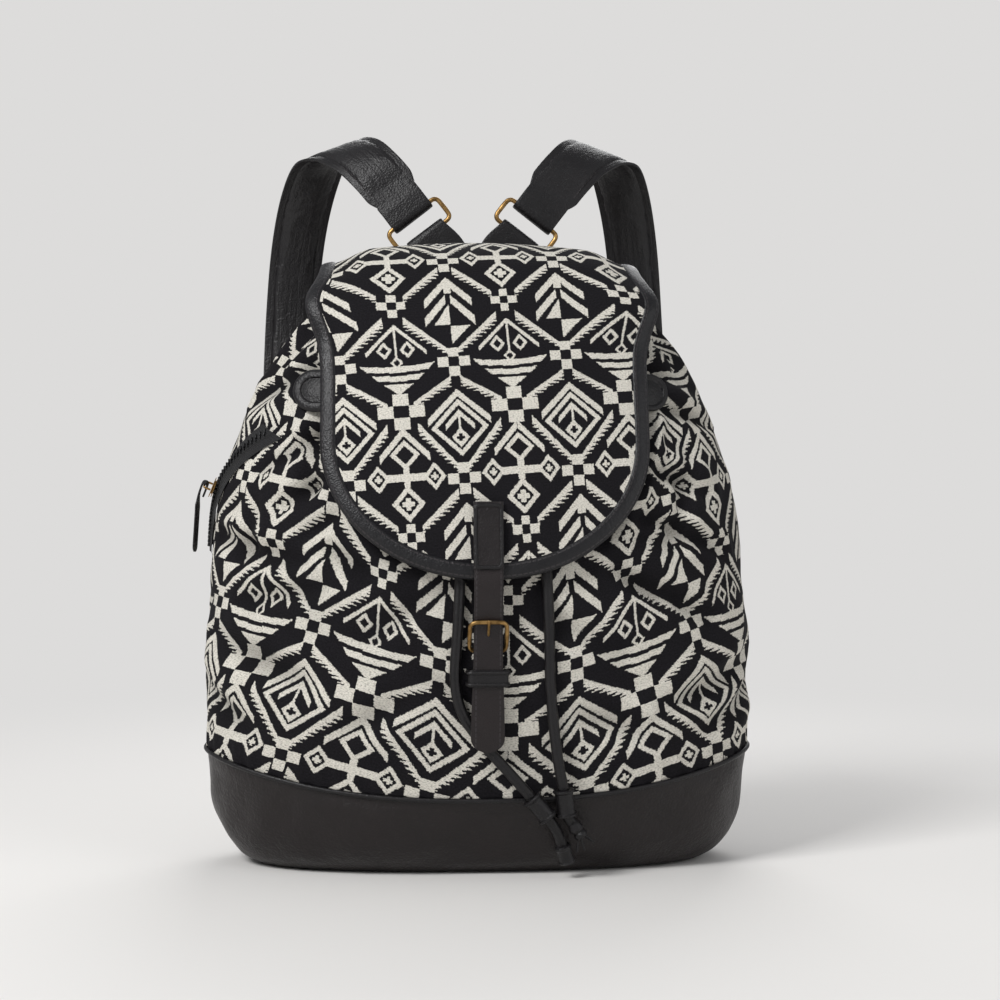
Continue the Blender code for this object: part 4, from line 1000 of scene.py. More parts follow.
# Folds that the photo shows: start and end as places across and up, then width and depth
FOLDS = (
    (-0.150, 0.256, -0.096, 0.279, 0.0060, 0.0076), (-0.135, 0.230, -0.096, 0.252, 0.0050, 0.0057),
    (-0.165, 0.300, -0.105, 0.322, 0.0060, 0.0060), (-0.200, 0.215, -0.118, 0.196, 0.0075, 0.0060),
    (-0.118, 0.212, -0.092, 0.226, 0.0045, 0.0042), (-0.160, 0.172, -0.105, 0.182, 0.0065, 0.0042),
    (0.094, 0.262, 0.150, 0.240, 0.0060, 0.0075), (0.094, 0.228, 0.165, 0.203, 0.0055, 0.0069),
    (0.082, 0.196, 0.152, 0.158, 0.0065, 0.0060), (0.104, 0.300, 0.165, 0.286, 0.0055, 0.0062),
    (0.100, 0.322, 0.140, 0.314, 0.0050, 0.0056), (0.098, 0.214, 0.128, 0.206, 0.0045, 0.0044),
    (-0.110, 0.120, -0.190, 0.150, 0.0090, 0.0050), (0.120, 0.105, 0.200, 0.135, 0.0090, 0.0050),
    (-0.030, 0.178, -0.078, 0.148, 0.0075, 0.0032), (0.030, 0.170, 0.084, 0.138, 0.0075, 0.0038),
    (-0.215, 0.120, -0.150, 0.088, 0.0080, 0.0051), (0.215, 0.120, 0.150, 0.090, 0.0080, 0.0051),
    (-0.090, 0.092, -0.050, 0.110, 0.0080, 0.0038), (0.060, 0.100, 0.105, 0.088, 0.0080, 0.0040),
    (0.106, 0.306, 0.094, 0.250, 0.0060, 0.0094), (0.094, 0.252, 0.072, 0.212, 0.0058, 0.0081),
    (0.082, 0.190, 0.112, 0.172, 0.0050, 0.0050), (-0.104, 0.296, -0.112, 0.240, 0.0060, 0.0075),
    (-0.100, 0.206, -0.070, 0.186, 0.0060, 0.0056), (0.136, 0.262, 0.124, 0.214, 0.0070, 0.0050),
    (-0.150, 0.232, -0.165, 0.196, 0.0070, 0.0044), (-0.040, 0.128, -0.012, 0.112, 0.0070, 0.0032),
)


def off_segment(start: Sequence[float], end: Sequence[float], x: float, z: float) -> tuple[float, Vector, Vector]:
    """Where a place lies beside a segment.

    Args:
        start: Start of the segment.
        end: End of the segment.
        x: First coordinate of the place.
        z: Second coordinate of the place.

    Returns:
        Share along the segment, the segment itself, and the way from it to the place.
    """
    a, b, here = Vector(start), Vector(end), Vector((x, z))
    along = b - a
    t = min(1.0, max(0.0, (here - a).dot(along) / along.length_squared))
    return t, along, here - a - along * t


@dataclass(frozen=True)
class Crease:
    """A soft fold of the canvas between two places on its front, in metres across and up."""

    start: Pair
    end: Pair
    width: float
    depth: float
    fade: float = 0.55
    ridge_away: float = 1.7
    ridge_over: float = 0.55
    ridge_under: float = 0.25

    def height(self, x: float, z: float) -> float:
        """Rise of the skin: a valley with a low ridge on each side.

        Args:
            x: Place across.
            z: Place up.

        Returns:
            The rise, negative in the valley.
        """
        t, along, side = off_segment(self.start, self.end, x, z)
        away = side.length / self.width
        over = along.x * side.y - along.y * side.x > 0
        share = 1.0 - self.fade * abs(2.0 * t - 1.0) ** 2
        ridge = math.exp(-(away - self.ridge_away) ** 2) * (self.ridge_over if over else self.ridge_under)
        return self.depth * share * (ridge - math.exp(-away * away))


@dataclass
class Body:
    """Canvas body: a gathered tube with folds, lined inside, with painted shade in its crease valleys.

    The pattern's sizes set where its middle and its first row lie, and how much it is stretched. The waves
    are pairs of height and waves for each metre.
    """

    finishes: Finishes
    columns: int = 260
    rows: int = 104
    creases: tuple[Crease, ...] = tuple(Crease((a, b), (c, d), width, depth) for a, b, c, d, width, depth in FOLDS)
    pattern_middle: float = 0.013
    pattern_row: float = 0.174
    wider: float = 1.17
    taller: float = 1.125
    fan_row: float = 0.150
    fan: float = 1.8
    bend_half: float = 0.079
    bend_rise: float = 0.024
    # Valley depth at which the painted shade in the creases is darkest
    deep: float = 0.0065
    tuck: float = 0.0006
    broad_wave: Pair = (0.0024, 21.0)
    fine_wave: Pair = (0.0011, 62.0)
    pucker: Pair = (0.0009, 520.0)
    ruffle: float = 0.0035
    rim_wave: Pair = (0.006, 38.0)
    calm_past: float = -0.12
    calm_between: Pair = (0.009, 0.026)

    def angle(self, share: float) -> float:
        """Angle round the bag of a share of the way round, from the back."""
        return math.pi / 2.0 + math.tau * share

    def height(self, share: float, t: float) -> float:
        """Height at a share up from the seam."""
        seam = seam_height(self.angle(share))
        return seam - self.tuck + t * (BAG_HEIGHT - seam + self.tuck)

    def plain(self, share: float, t: float) -> Vector:
        """Point of the smooth skin."""
        return ring_point(self.angle(share), self.height(share, t), gathered=True)

    def measure(self) -> None:
        """Lengths across from the front's middle and up from the pattern's row, for every grid point."""
        self.across, self.up = {}, {}
        half = self.columns // 2
        for r in range(self.rows + 1):
            t = r / self.rows
            for step in (1, -1):
                total, last = 0.0, self.plain(0.5, t)
                self.across[half, r] = 0.0
                for k in range(1, half + 1):
                    here = self.plain((half + step * k) / self.columns, t)
                    total += (here - last).length
                    last = here
                    self.across[half + step * k, r] = step * total
        for c in range(self.columns + 1):
            share = c / self.columns
            points = [self.plain(share, r / self.rows) for r in range(self.rows + 1)]
            total = [0.0]
            for a, b in zip(points, points[1:]):
                total.append(total[-1] + (b - a).length)
            zero = min(range(self.rows + 1), key=lambda r: abs(points[r].z - self.pattern_row))
            start = total[zero] - (points[zero].z - self.pattern_row)
            for r in range(self.rows + 1):
                self.up[c, r] = total[r] - start

    def key(self, s: float, t: float) -> tuple[int, int]:
        """Grid place of two shares."""
        return int(round(s * self.columns)), int(round(t * self.rows))

    def fold_height(self, s: float, t: float, here: Vector) -> float:
        """Rise of folds and waves, calm beside the zip and at both hems.

        Args:
            s: Share round the bag.
            t: Share up from the seam.
            here: Point of the smooth skin there.

        Returns:
            The rise over the smooth skin.
        """
        x, z = self.across[self.key(s, t)], self.height(s, t)
        rise = sum(c.height(x, z) for c in self.creases)
        calm = 1.0
        if here.x < self.calm_past:
            calm = smooth_between(*self.calm_between, off_segment(Zip.start, Zip.end, here.y, z)[2].length)
        edge = smooth_between(0.0, 0.10, t) * smooth_between(1.0, 0.93, t)
        wave = sum(high * noise.noise(here * often) for high, often in (self.broad_wave, self.fine_wave))
        return (rise + wave) * edge * calm

    def skin(self, s: float, t: float) -> Vector:
        """Point of the creased skin; it notes how deep the valley is there, for the painted shade in the creases.

        Args:
            s: Share round the bag.
            t: Share up from the seam.

        Returns:
            The point.
        """
        here, angle = self.plain(s, t), self.angle(s)
        rise = self.fold_height(s, t, here)
        high, often = self.pucker
        pucker = high * math.sin(self.across[self.key(s, t)] * often) * smooth_between(0.09, 0.0, t)
        rim = smooth_between(0.86, 1.0, t) * abs(math.cos(angle)) ** 1.5
        ruffle = self.ruffle * rim * math.sin(2.0 * GATHERS * angle)
        high, often = self.rim_wave
        point = (here + outward(angle, self.height(s, t)) * (rise + pucker + ruffle)
                 + Vector((0.0, 0.0, high * rim * noise.noise(here * often))))
        self.valleys[self.spot(point)] = max(0.0, -rise)
        return point

    def spot(self, point: Vector) -> tuple[int, ...]:
        """Place on a lattice of hundredths of a millimetre."""
        return tuple(round(c * 1e5) for c in point)

    def cloth(self, s: float, t: float) -> Pair:
        """Flat place of the weave: columns fan out downward and rows rise toward the sides.

        Args:
            s: Share round the bag.
            t: Share up from the seam.

        Returns:
            Place across and down the cloth, in metres.
        """
        x = self.across[self.key(s, t)] - self.pattern_middle
        up = self.up[self.key(s, t)]
        fan = 1.0 + self.fan * (up + self.pattern_row - self.fan_row)
        bend = (x / self.bend_half) ** 2
        rise = self.bend_rise * bend / (1.0 + 0.4 * bend)
        return x * fan / self.wider, (rise - up) / self.taller

    def build(self) -> None:
        """Make the body."""
        self.measure()
        self.valleys = {}
        piece = wrap_grid("body_canvas", self.columns, self.rows, self.skin, self.cloth, closed=True)
        finish_piece(piece, self.finishes.canvas, Slot.CANVAS, "canvas_body")
        # Painted shade: each point's valley depth, as a share of deep, darkens the canvas in the creases.
        fold = piece.data.attributes.new("fold", "FLOAT", "POINT")
        for vertex in piece.data.vertices:
            fold.data[vertex.index].value = min(1.0, self.valleys.get(self.spot(vertex.co), 0.0) / self.deep)
        piece.data.materials.append(self.finishes.lining)
        shape_with(piece, "SOLIDIFY", thickness=WALL, offset=-1.0, material_offset=1, material_offset_rim=1)


@dataclass
class Base:
    """Leather base and the thin welt over its seam."""

    finishes: Finishes
    floor_share: float = 0.22
    cone: float = 0.0004
    broad_dent: Pair = (0.0034, 16.0)
    fine_dent: Pair = (0.0016, 45.0)
    welt_steps: int = 240
    welt_lift: float = 0.0012
    welt_size: Pair = (0.0030, 0.0028)

    def place(self, s: float, t: float) -> Vector:
        """Point of the bottom, then of the wall.

        Args:
            s: Share round the bag.
            t: Share from the bottom's middle to the seam.

        Returns:
            The point.
        """
        angle = math.pi / 2.0 + math.tau * s
        if t < self.floor_share:
            rim = ring_point(angle, 0.0)
            share = t / self.floor_share
            return Vector((rim.x * share, rim.y * share, self.cone * (1.0 - share)))
        share = (t - self.floor_share) / (1.0 - self.floor_share)
        z = share * (seam_height(angle) - 0.0002)
        here = ring_point(angle, z)
        edge = smooth_between(0.0, 0.2, share) * smooth_between(1.0, 0.8, share)
        dent = sum(deep * noise.noise(here * often) for deep, often in (self.broad_dent, self.fine_dent))
        return here + outward(angle, z) * dent * edge

    def build(self) -> None:
        """Make the base and the welt."""
        piece = wrap_grid("base_leather", 220, 64, self.place, lambda s, t: (s * 0.9, t * 0.2), closed=True)
        finish_piece(piece, self.finishes.base_leather, Slot.LEATHER, "leather_base")
        shape_with(piece, "SOLIDIFY", thickness=WALL * 0.8, offset=-1.0)
        route = []
        for k in range(self.welt_steps + 1):
            angle = math.pi / 2.0 + math.tau * k / self.welt_steps
            z = seam_height(angle)
            route.append(ring_point(angle, z) + outward(angle, z) * self.welt_lift)
        line = even_line(route, UP)
        wide, thick = self.welt_size
        welt = strip("welt_cord", line, wide, thick, self.welt_steps, around=10, power=2.0)
        finish_piece(welt, self.finishes.leather, Slot.LEATHER, "seam_welt")


@dataclass
class Flap:
    """Canvas flap with a leather binding folded over its edge."""

    finishes: Finishes
    columns: int = 72
    rows: int = 130
    pattern_middle: float = 0.012
    pattern_height: float = 0.363
    pattern_turn: float = 0.075
    corner_droop: float = 0.007
    corner_flare: float = 0.010
    corner_height: float = 0.362
    corner_spread: float = 0.022
    brow_height: float = 0.363
    front_top: float = 0.335
    behind: float = 0.0034
    belly: float = 0.0022
    wave: Pair = (0.0011, 26.0)
    cloth_thickness: float = 0.0022
    edge_steps: int = 120
    binding_past: float = 0.0026
    binding_size: Pair = (0.0108, 0.0050)

    def middle(self) -> list[Vector]:
        """Middle line from the back over the mouth and down the front.

        Returns:
            Points close together.
        """
        behind = back_y(0.0, FLAP_BACK_HEIGHT) + self.behind
        crest = BAG_HEIGHT + FLAP_CREST
        points = [Vector((0.0, behind, FLAP_BACK_HEIGHT)), Vector((0.0, behind - 0.0030, BAG_HEIGHT + 0.002)),
                  Vector((0.0, 0.038, crest - 0.010)), Vector((0.0, 0.010, crest)),
                  Vector((0.0, -0.022, crest - 0.002)), Vector((0.0, -0.048, crest - 0.017)),
                  Vector((0.0, -0.065, self.brow_height))]
        for share in (0.0, 0.25, 0.5, 0.75, 1.0):
            z = self.front_top + (FLAP_TIP - self.front_top) * share
            points.append(Vector((0.0, front_y(0.0, z) - FLAP_LIFT, z)))
        return smooth_route(points, 12)

    def measure(self) -> None:
        """Rows of the flap: middle point, half width and length down from the pattern's row."""
        straight = [p for p in self.middle() if p.z >= FLAP_ROUND_START or p.y > -0.05]
        rows = [(p, FLAP_HALF_WIDTH) for p in straight]
        for k in range(1, 41):
            turn = math.radians(88.5) * k / 40
            z = FLAP_ROUND_START - (FLAP_ROUND_START - FLAP_TIP) * math.sin(turn)
            rows.append((Vector((0.0, front_y(0.0, z) - FLAP_LIFT, z)), FLAP_HALF_WIDTH * math.cos(turn)))
        marks = [0.0]
        for (a, _), (b, _) in zip(rows, rows[1:]):
            marks.append(marks[-1] + (b - a).length)
        front = [k for k, (p, _) in enumerate(rows) if p.y < 0.0]
        zero = min(front, key=lambda k: abs(rows[k][0].z - self.pattern_height))
        self.table = rows
        self.marks = [m - marks[zero] for m in marks]

    def row(self, t: float) -> tuple[Vector, float, float]:
        """Read the flap's rows.

        Args:
            t: Share along the rows.

        Returns:
            Middle point, half width and length down from the pattern's row.
        """
        at = t * (len(self.table) - 1)
        k = min(len(self.table) - 2, int(at))
        share = at - k
        (a, wide_a), (b, wide_b) = self.table[k], self.table[k + 1]
        mark, after = self.marks[k], self.marks[k + 1]
        return a.lerp(b, share), wide_a + (wide_b - wide_a) * share, mark + (after - mark) * share

    def place(self, s: float, t: float) -> Vector:
        """Point of the flap's middle surface.

        Args:
            s: Share across the flap.
            t: Share along its rows, from the back.

        Returns:
            The point.
        """
        middle, half, _ = self.row(t)
        x = half * (2.0 * s - 1.0)
        on_front = smooth_between(0.030, -0.060, middle.y)
        on_back = smooth_between(0.010, 0.052, middle.y)
        level = min(middle.z, self.front_top)
        front_drop = front_y(x, level) - front_y(0.0, level)
        back_drop = back_y(x, FLAP_BACK_HEIGHT) - back_y(0.0, FLAP_BACK_HEIGHT)
        share = x / FLAP_HALF_WIDTH
        on_top = (1.0 - on_front) * (1.0 - on_back)
        droop = FLAP_SIDE_DROOP * share ** 2 * on_top
        corner = smooth_between(0.72, 1.0, abs(share)) * (1.0 - on_back)
        droop += self.corner_droop * corner * smooth_between(0.330, 0.395, middle.z)
        bend = math.exp(-((middle.z - self.corner_height) / self.corner_spread) ** 2)
        bend *= (1.0 - on_back) * (middle.y < 0.0)
        flare = self.corner_flare * smooth_between(0.55, 1.0, abs(share)) * bend
        y = middle.y + front_drop * on_front + back_drop * on_back
        here = Vector((x + math.copysign(flare, x), y - 0.4 * flare, middle.z - droop + 0.3 * flare))
        belly = self.belly * on_front * (1.0 - share ** 2) * smooth_between(FLAP_TIP, 0.25, middle.z)
        high, often = self.wave
        wave = high * noise.noise(here * often) * (0.3 + 0.7 * abs(share)) * on_front
        return here + Vector((0.0, -belly - wave, 0.0))

    def cloth(self, s: float, t: float) -> Pair:
        """Flat place of the weave, turned slightly on the flap.

        Args:
            s: Share across the flap.
            t: Share along its rows.

        Returns:
            Place across and down the cloth, in metres.
        """
        _, half, down = self.row(t)
        x = half * (2.0 * s - 1.0) - self.pattern_middle
        return x - self.pattern_turn * down, down + self.pattern_turn * x

    def build(self) -> None:
        """Make the flap and its binding."""
        self.measure()
        piece = wrap_grid("flap_canvas", self.columns, self.rows, self.place, self.cloth)
        finish_piece(piece, self.finishes.canvas, Slot.CANVAS, "flap")
        piece.data.materials.append(self.finishes.lining)
        shape_with(piece, "SOLIDIFY", thickness=self.cloth_thickness, offset=0.0, material_offset=1,
                   material_offset_rim=1)
        self.bind()

    def bind(self) -> None:
        """Make the binding round the flap's edge."""
        shares = [k / self.edge_steps for k in range(self.edge_steps + 1)]
        edge = [(self.place(0.0, t), self.place(0.02, t)) for t in shares]
        edge += [(self.place(c / 10, 1.0), self.place(c / 10, 0.97)) for c in range(3, 8)]
        edge += [(self.place(1.0, t), self.place(0.98, t)) for t in reversed(shares)]
        points = [p + (p - q).normalized() * self.binding_past for p, q in edge]
        line = Line(points, [(p - q).normalized() for p, q in edge])
        wide, thick = self.binding_size
        binding = strip("flap_edge_binding", line, wide, thick, 420, around=16, power=2.6)
        finish_piece(binding, self.finishes.binding, Slot.LEATHER, "flap_binding")


@dataclass
class Closure:
    """Stitched strap on the flap, its tail, keeper and buckle tab."""

    finishes: Finishes

    top: float = 0.234
    tip: float = 0.080
    patch_low: float = 0.1935
    patch_size: Pair = (0.0186, 0.0016)
    welt_half: float = 0.0080
    welt_size: Pair = (0.0015, 0.0024)
    keeper: float = 0.126
    keeper_size: Pair = (0.0105, 0.0016)
    ridge_size: Pair = (0.0024, 0.0022)
    ridge_away: float = 0.0036
    ridge_rise: float = 0.0010
    low_bar: float = 0.1425
    bar_lift: float = 0.0059
    tab_turn: float = 0.0026
    # Heights, and how far the strap's middle line lies in front of the bag there
    lifts: tuple[Pair, ...] = (
        (0.080, 0.0103), (0.1425, 0.0107), (0.1610, 0.0122), (0.178, 0.0161), (0.196, 0.0161), (0.204, 0.0149),
        (0.234, 0.0149))

    def over(self, x: float, z: float, extra: float) -> Vector:
        """Point of the strap's middle line at a height, moved across and outward."""
        return Vector((x, front_y(0.0, z) - table_value(self.lifts, z, 1) - extra, z))

    def route(self, top: float, low: float, extra: float = 0.0) -> Line:
        """Middle line of a strap down the front.

        Args:
            top: Height where it starts.
            low: Height where it ends.
            extra: Distance in front of the strap's own line.

        Returns:
            The line.
        """
        points = [self.over(0.0, top + (low - top) * k / 60, extra) for k in range(61)]
        return even_line(points, RIGHT)

    def build(self) -> None:
        """Make the strap's parts."""
        whole = self.route(self.top, self.tip)

        def tail_width(t: float) -> float:
            """Width of the tail: wider low down, then a round end."""
            base = 0.018 + 0.003 * smooth_between(0.55, 0.95, t)
            end = max(0.0, (t - 0.945) / 0.055)
            return base * math.sqrt(max(0.02, 1.0 - end * end))

        strap = strip("closure_strap_leather", whole, tail_width, 0.0024, 150, around=28, power=6.0)
        finish_piece(strap, self.finishes.tail_leather, Slot.LEATHER, "closure_strap")
        wide, thick = self.patch_size
        patch = strip("closure_strap_patch", self.route(self.top + 0.001, self.patch_low, thick), wide,
                      thick, 60, around=24, power=6.0)
        finish_piece(patch, self.finishes.patch_leather, Slot.LEATHER)
        self.border()
        self.keeper_loop()
        self.tab()

    def keeper_loop(self) -> None:
        """Loop round the strap, with a ridge along each of its edges."""
        outer = self.route(self.keeper + 0.001, self.keeper - 0.001).at(0.5)[0]
        near = front_y(0.0, self.keeper) - 0.0010
        centre = Vector((0.0, (outer.y - 0.0025 + near) / 2.0, self.keeper))
        half_depth = (near - outer.y + 0.0025) / 2.0
        loop = rounded_loop(centre, RIGHT, Vector((0, -1, 0)), 0.0118, half_depth, 0.0022)
        line = even_line(loop, UP)
        wide, thick = self.keeper_size
        keeper = strip("keeper_loop", line, wide, thick, 80, around=18, power=4.0)
        finish_piece(keeper, self.finishes.leather, Slot.LEATHER, "strap_keeper")
        high, deep = self.ridge_size
        for k, side in enumerate((-1.0, 1.0)):
            up = Vector((0.0, 0.0, side * self.ridge_away))
            moved = [p + up + (p - centre).normalized() * self.ridge_rise for p in loop]
            ridge = strip(f"keeper_ridge_{k}", even_line(moved, UP), high,
                          deep, 80, around=8, power=2.0)
            finish_piece(ridge, self.finishes.leather, Slot.LEATHER)

    def border(self) -> None:
        """Raised welt round the patch, inside its edge."""
        middle = Vector((0.0, 0.0, (self.top + self.patch_low) / 2.0))
        half_height = (self.top - self.patch_low) / 2.0 - 0.0012
        loop = rounded_loop(middle, RIGHT, UP, self.welt_half, half_height, 0.0024)
        line = Line([self.over(p.x, p.z, 0.0025) for p in loop], [BACK] * len(loop))
        high, thick = self.welt_size
        welt = strip("closure_patch_welt", line, high, thick, 120, around=12, power=2.0)
        finish_piece(welt, self.finishes.leather, Slot.LEATHER)

    def tab(self) -> None:
        """Thin tab on the body, folded round the buckle's low bar."""
        def leg(*rows: Pair) -> list[Vector]:
            """Points in front of the bag, from pairs of lift and height."""
            return [Vector((0.0, front_y(0.0, z) - lift, z)) for lift, z in rows]

        bar = Vector((0.0, front_y(0.0, self.low_bar) - self.bar_lift, self.low_bar))
        back = leg((0.0013, 0.100), (0.0016, 0.110), (0.0028, 0.120), (0.0030, 0.132), (0.0038, 0.1405))
        turn = [bar + Vector((0.0, -self.tab_turn * math.sin(a), self.tab_turn * math.cos(a)))
                for a in (math.radians(d) for d in (-60, -25, 10, 45, 80))]
        front = leg((0.0082, 0.1385), (0.0066, 0.134), (0.0048, 0.126))
        route = smooth_route(back + turn + front, 4)
        piece = strip("buckle_tab_leather", even_line(route, RIGHT), 0.0150,
                      0.0015, 70, around=16, power=5.0)
        finish_piece(piece, self.finishes.leather, Slot.LEATHER, "buckle_tab")


def rounded_loop(centre: Vector, wide: Vector, up: Vector, half_width: float, half_height: float,
                 corner: float) -> list[Vector]:
    """Closed route of a rectangular loop with round corners.

    Args:
        centre: Middle of the loop.
        wide: Direction of its width.
        up: Direction of its height.
        half_width: Half its width.
        half_height: Half its height.
        corner: Radius of its corners.

    Returns:
        Points of the loop; the last one repeats the first.
    """
    route = []
    for sx, sy, start in ((1, 1, 0), (-1, 1, 1), (-1, -1, 2), (1, -1, 3)):
        for k in range(7):
            turn = math.pi / 2.0 * (start + k / 6.0)
            route.append(centre + wide * (sx * (half_width - corner) + corner * math.cos(turn))
                         + up * (sy * (half_height - corner) + corner * math.sin(turn)))
    return route + [route[0].copy()]


@dataclass
class SideTabs:
    """Round-ended leather tabs with a raised border, sewn on beside the flap."""

    finishes: Finishes
    height: float = 0.304
    inner: float = 0.082
    outer: float = 0.118
    half: float = 0.012
    straight: float = 0.45
    lift: float = 0.0024
    border: float = 0.0011
    dome: float = 0.0008
    thickness: float = 0.0022

    def spot(self, s: float, t: float) -> Pair:
        """Place on the tab: straight sides, then a round end.

        Args:
            s: Share across the tab.
            t: Share from its inner end to its round one.

        Returns:
            Place across the bag and up from the tab's middle.
        """
        turn = math.pi / 2.0 * min(1.0, max(0.0, (t - self.straight) / (1.0 - self.straight)))
        centre = self.outer - self.half
        if t < self.straight:
            x = self.inner + (centre - self.inner) * t / self.straight
        else:
            x = centre + self.half * math.sin(turn)
        return x, self.half * max(0.05, math.cos(turn)) * (2.0 * s - 1.0)

    def build(self) -> None:
        """Make both tabs."""
        centre = self.outer - self.half
        for name, side in (("left", -1.0), ("right", 1.0)):
            def place(s: float, t: float, side: float = side) -> Vector:
                """Point of the tab, raised at its border and in its middle."""
                x, up = self.spot(s, t)
                from_edge = self.half - (abs(up) if x < centre else math.hypot(x - centre, up))
                border = smooth_between(0.0038, 0.0026, from_edge) * smooth_between(-0.0002, 0.0010, from_edge)
                dome = smooth_between(0.0030, 0.0100, from_edge)
                return front_point(side * x, self.height + up, self.lift + self.border * border + self.dome * dome)

            piece = wrap_grid("side_tab_leather_" + name, 44, 60, place, lambda s, t: (s * 0.024, t * 0.036))
            finish_piece(piece, self.finishes.leather, Slot.LEATHER, "side_tab_" + name)
            shape_with(piece, "SOLIDIFY", thickness=self.thickness, offset=-side)


def boxes(name: str, places: Sequence[tuple[Vector, Vector, Vector, Vector]],
          sizes: Triple, worn: float) -> bpy.types.Object:
    """Small blocks with worn edges in one mesh, such as zip teeth.

    Args:
        name: Name of the piece.
        places: Centre and three directions of each block.
        sizes: Size along each direction.
        worn: Width of the worn edge.

    Returns:
        The new object.
    """
    bpy.ops.object.select_all(action="DESELECT")
    bpy.ops.mesh.primitive_cube_add(size=1.0)
    pattern = bpy.context.object
    corners = [v.co.copy() for v in pattern.data.vertices]
    sides = [tuple(p.vertices) for p in pattern.data.polygons]
    vertices, faces = [], []
    for centre, a, b, c in places:
        start = len(vertices)
        vertices += [centre + a * (k.x * sizes[0]) + b * (k.y * sizes[1]) + c * (k.z * sizes[2]) for k in corners]
        faces += [tuple(start + v for v in side) for side in sides]
    mesh = bpy.data.meshes.new(name)
    mesh.from_pydata([tuple(v) for v in vertices], [], faces)
    pattern.data = mesh
    pattern.name = name
    edit_all(pattern, lambda: bpy.ops.mesh.normals_make_consistent(inside=False))
    return shape_with(pattern, "BEVEL", width=worn, segments=2)


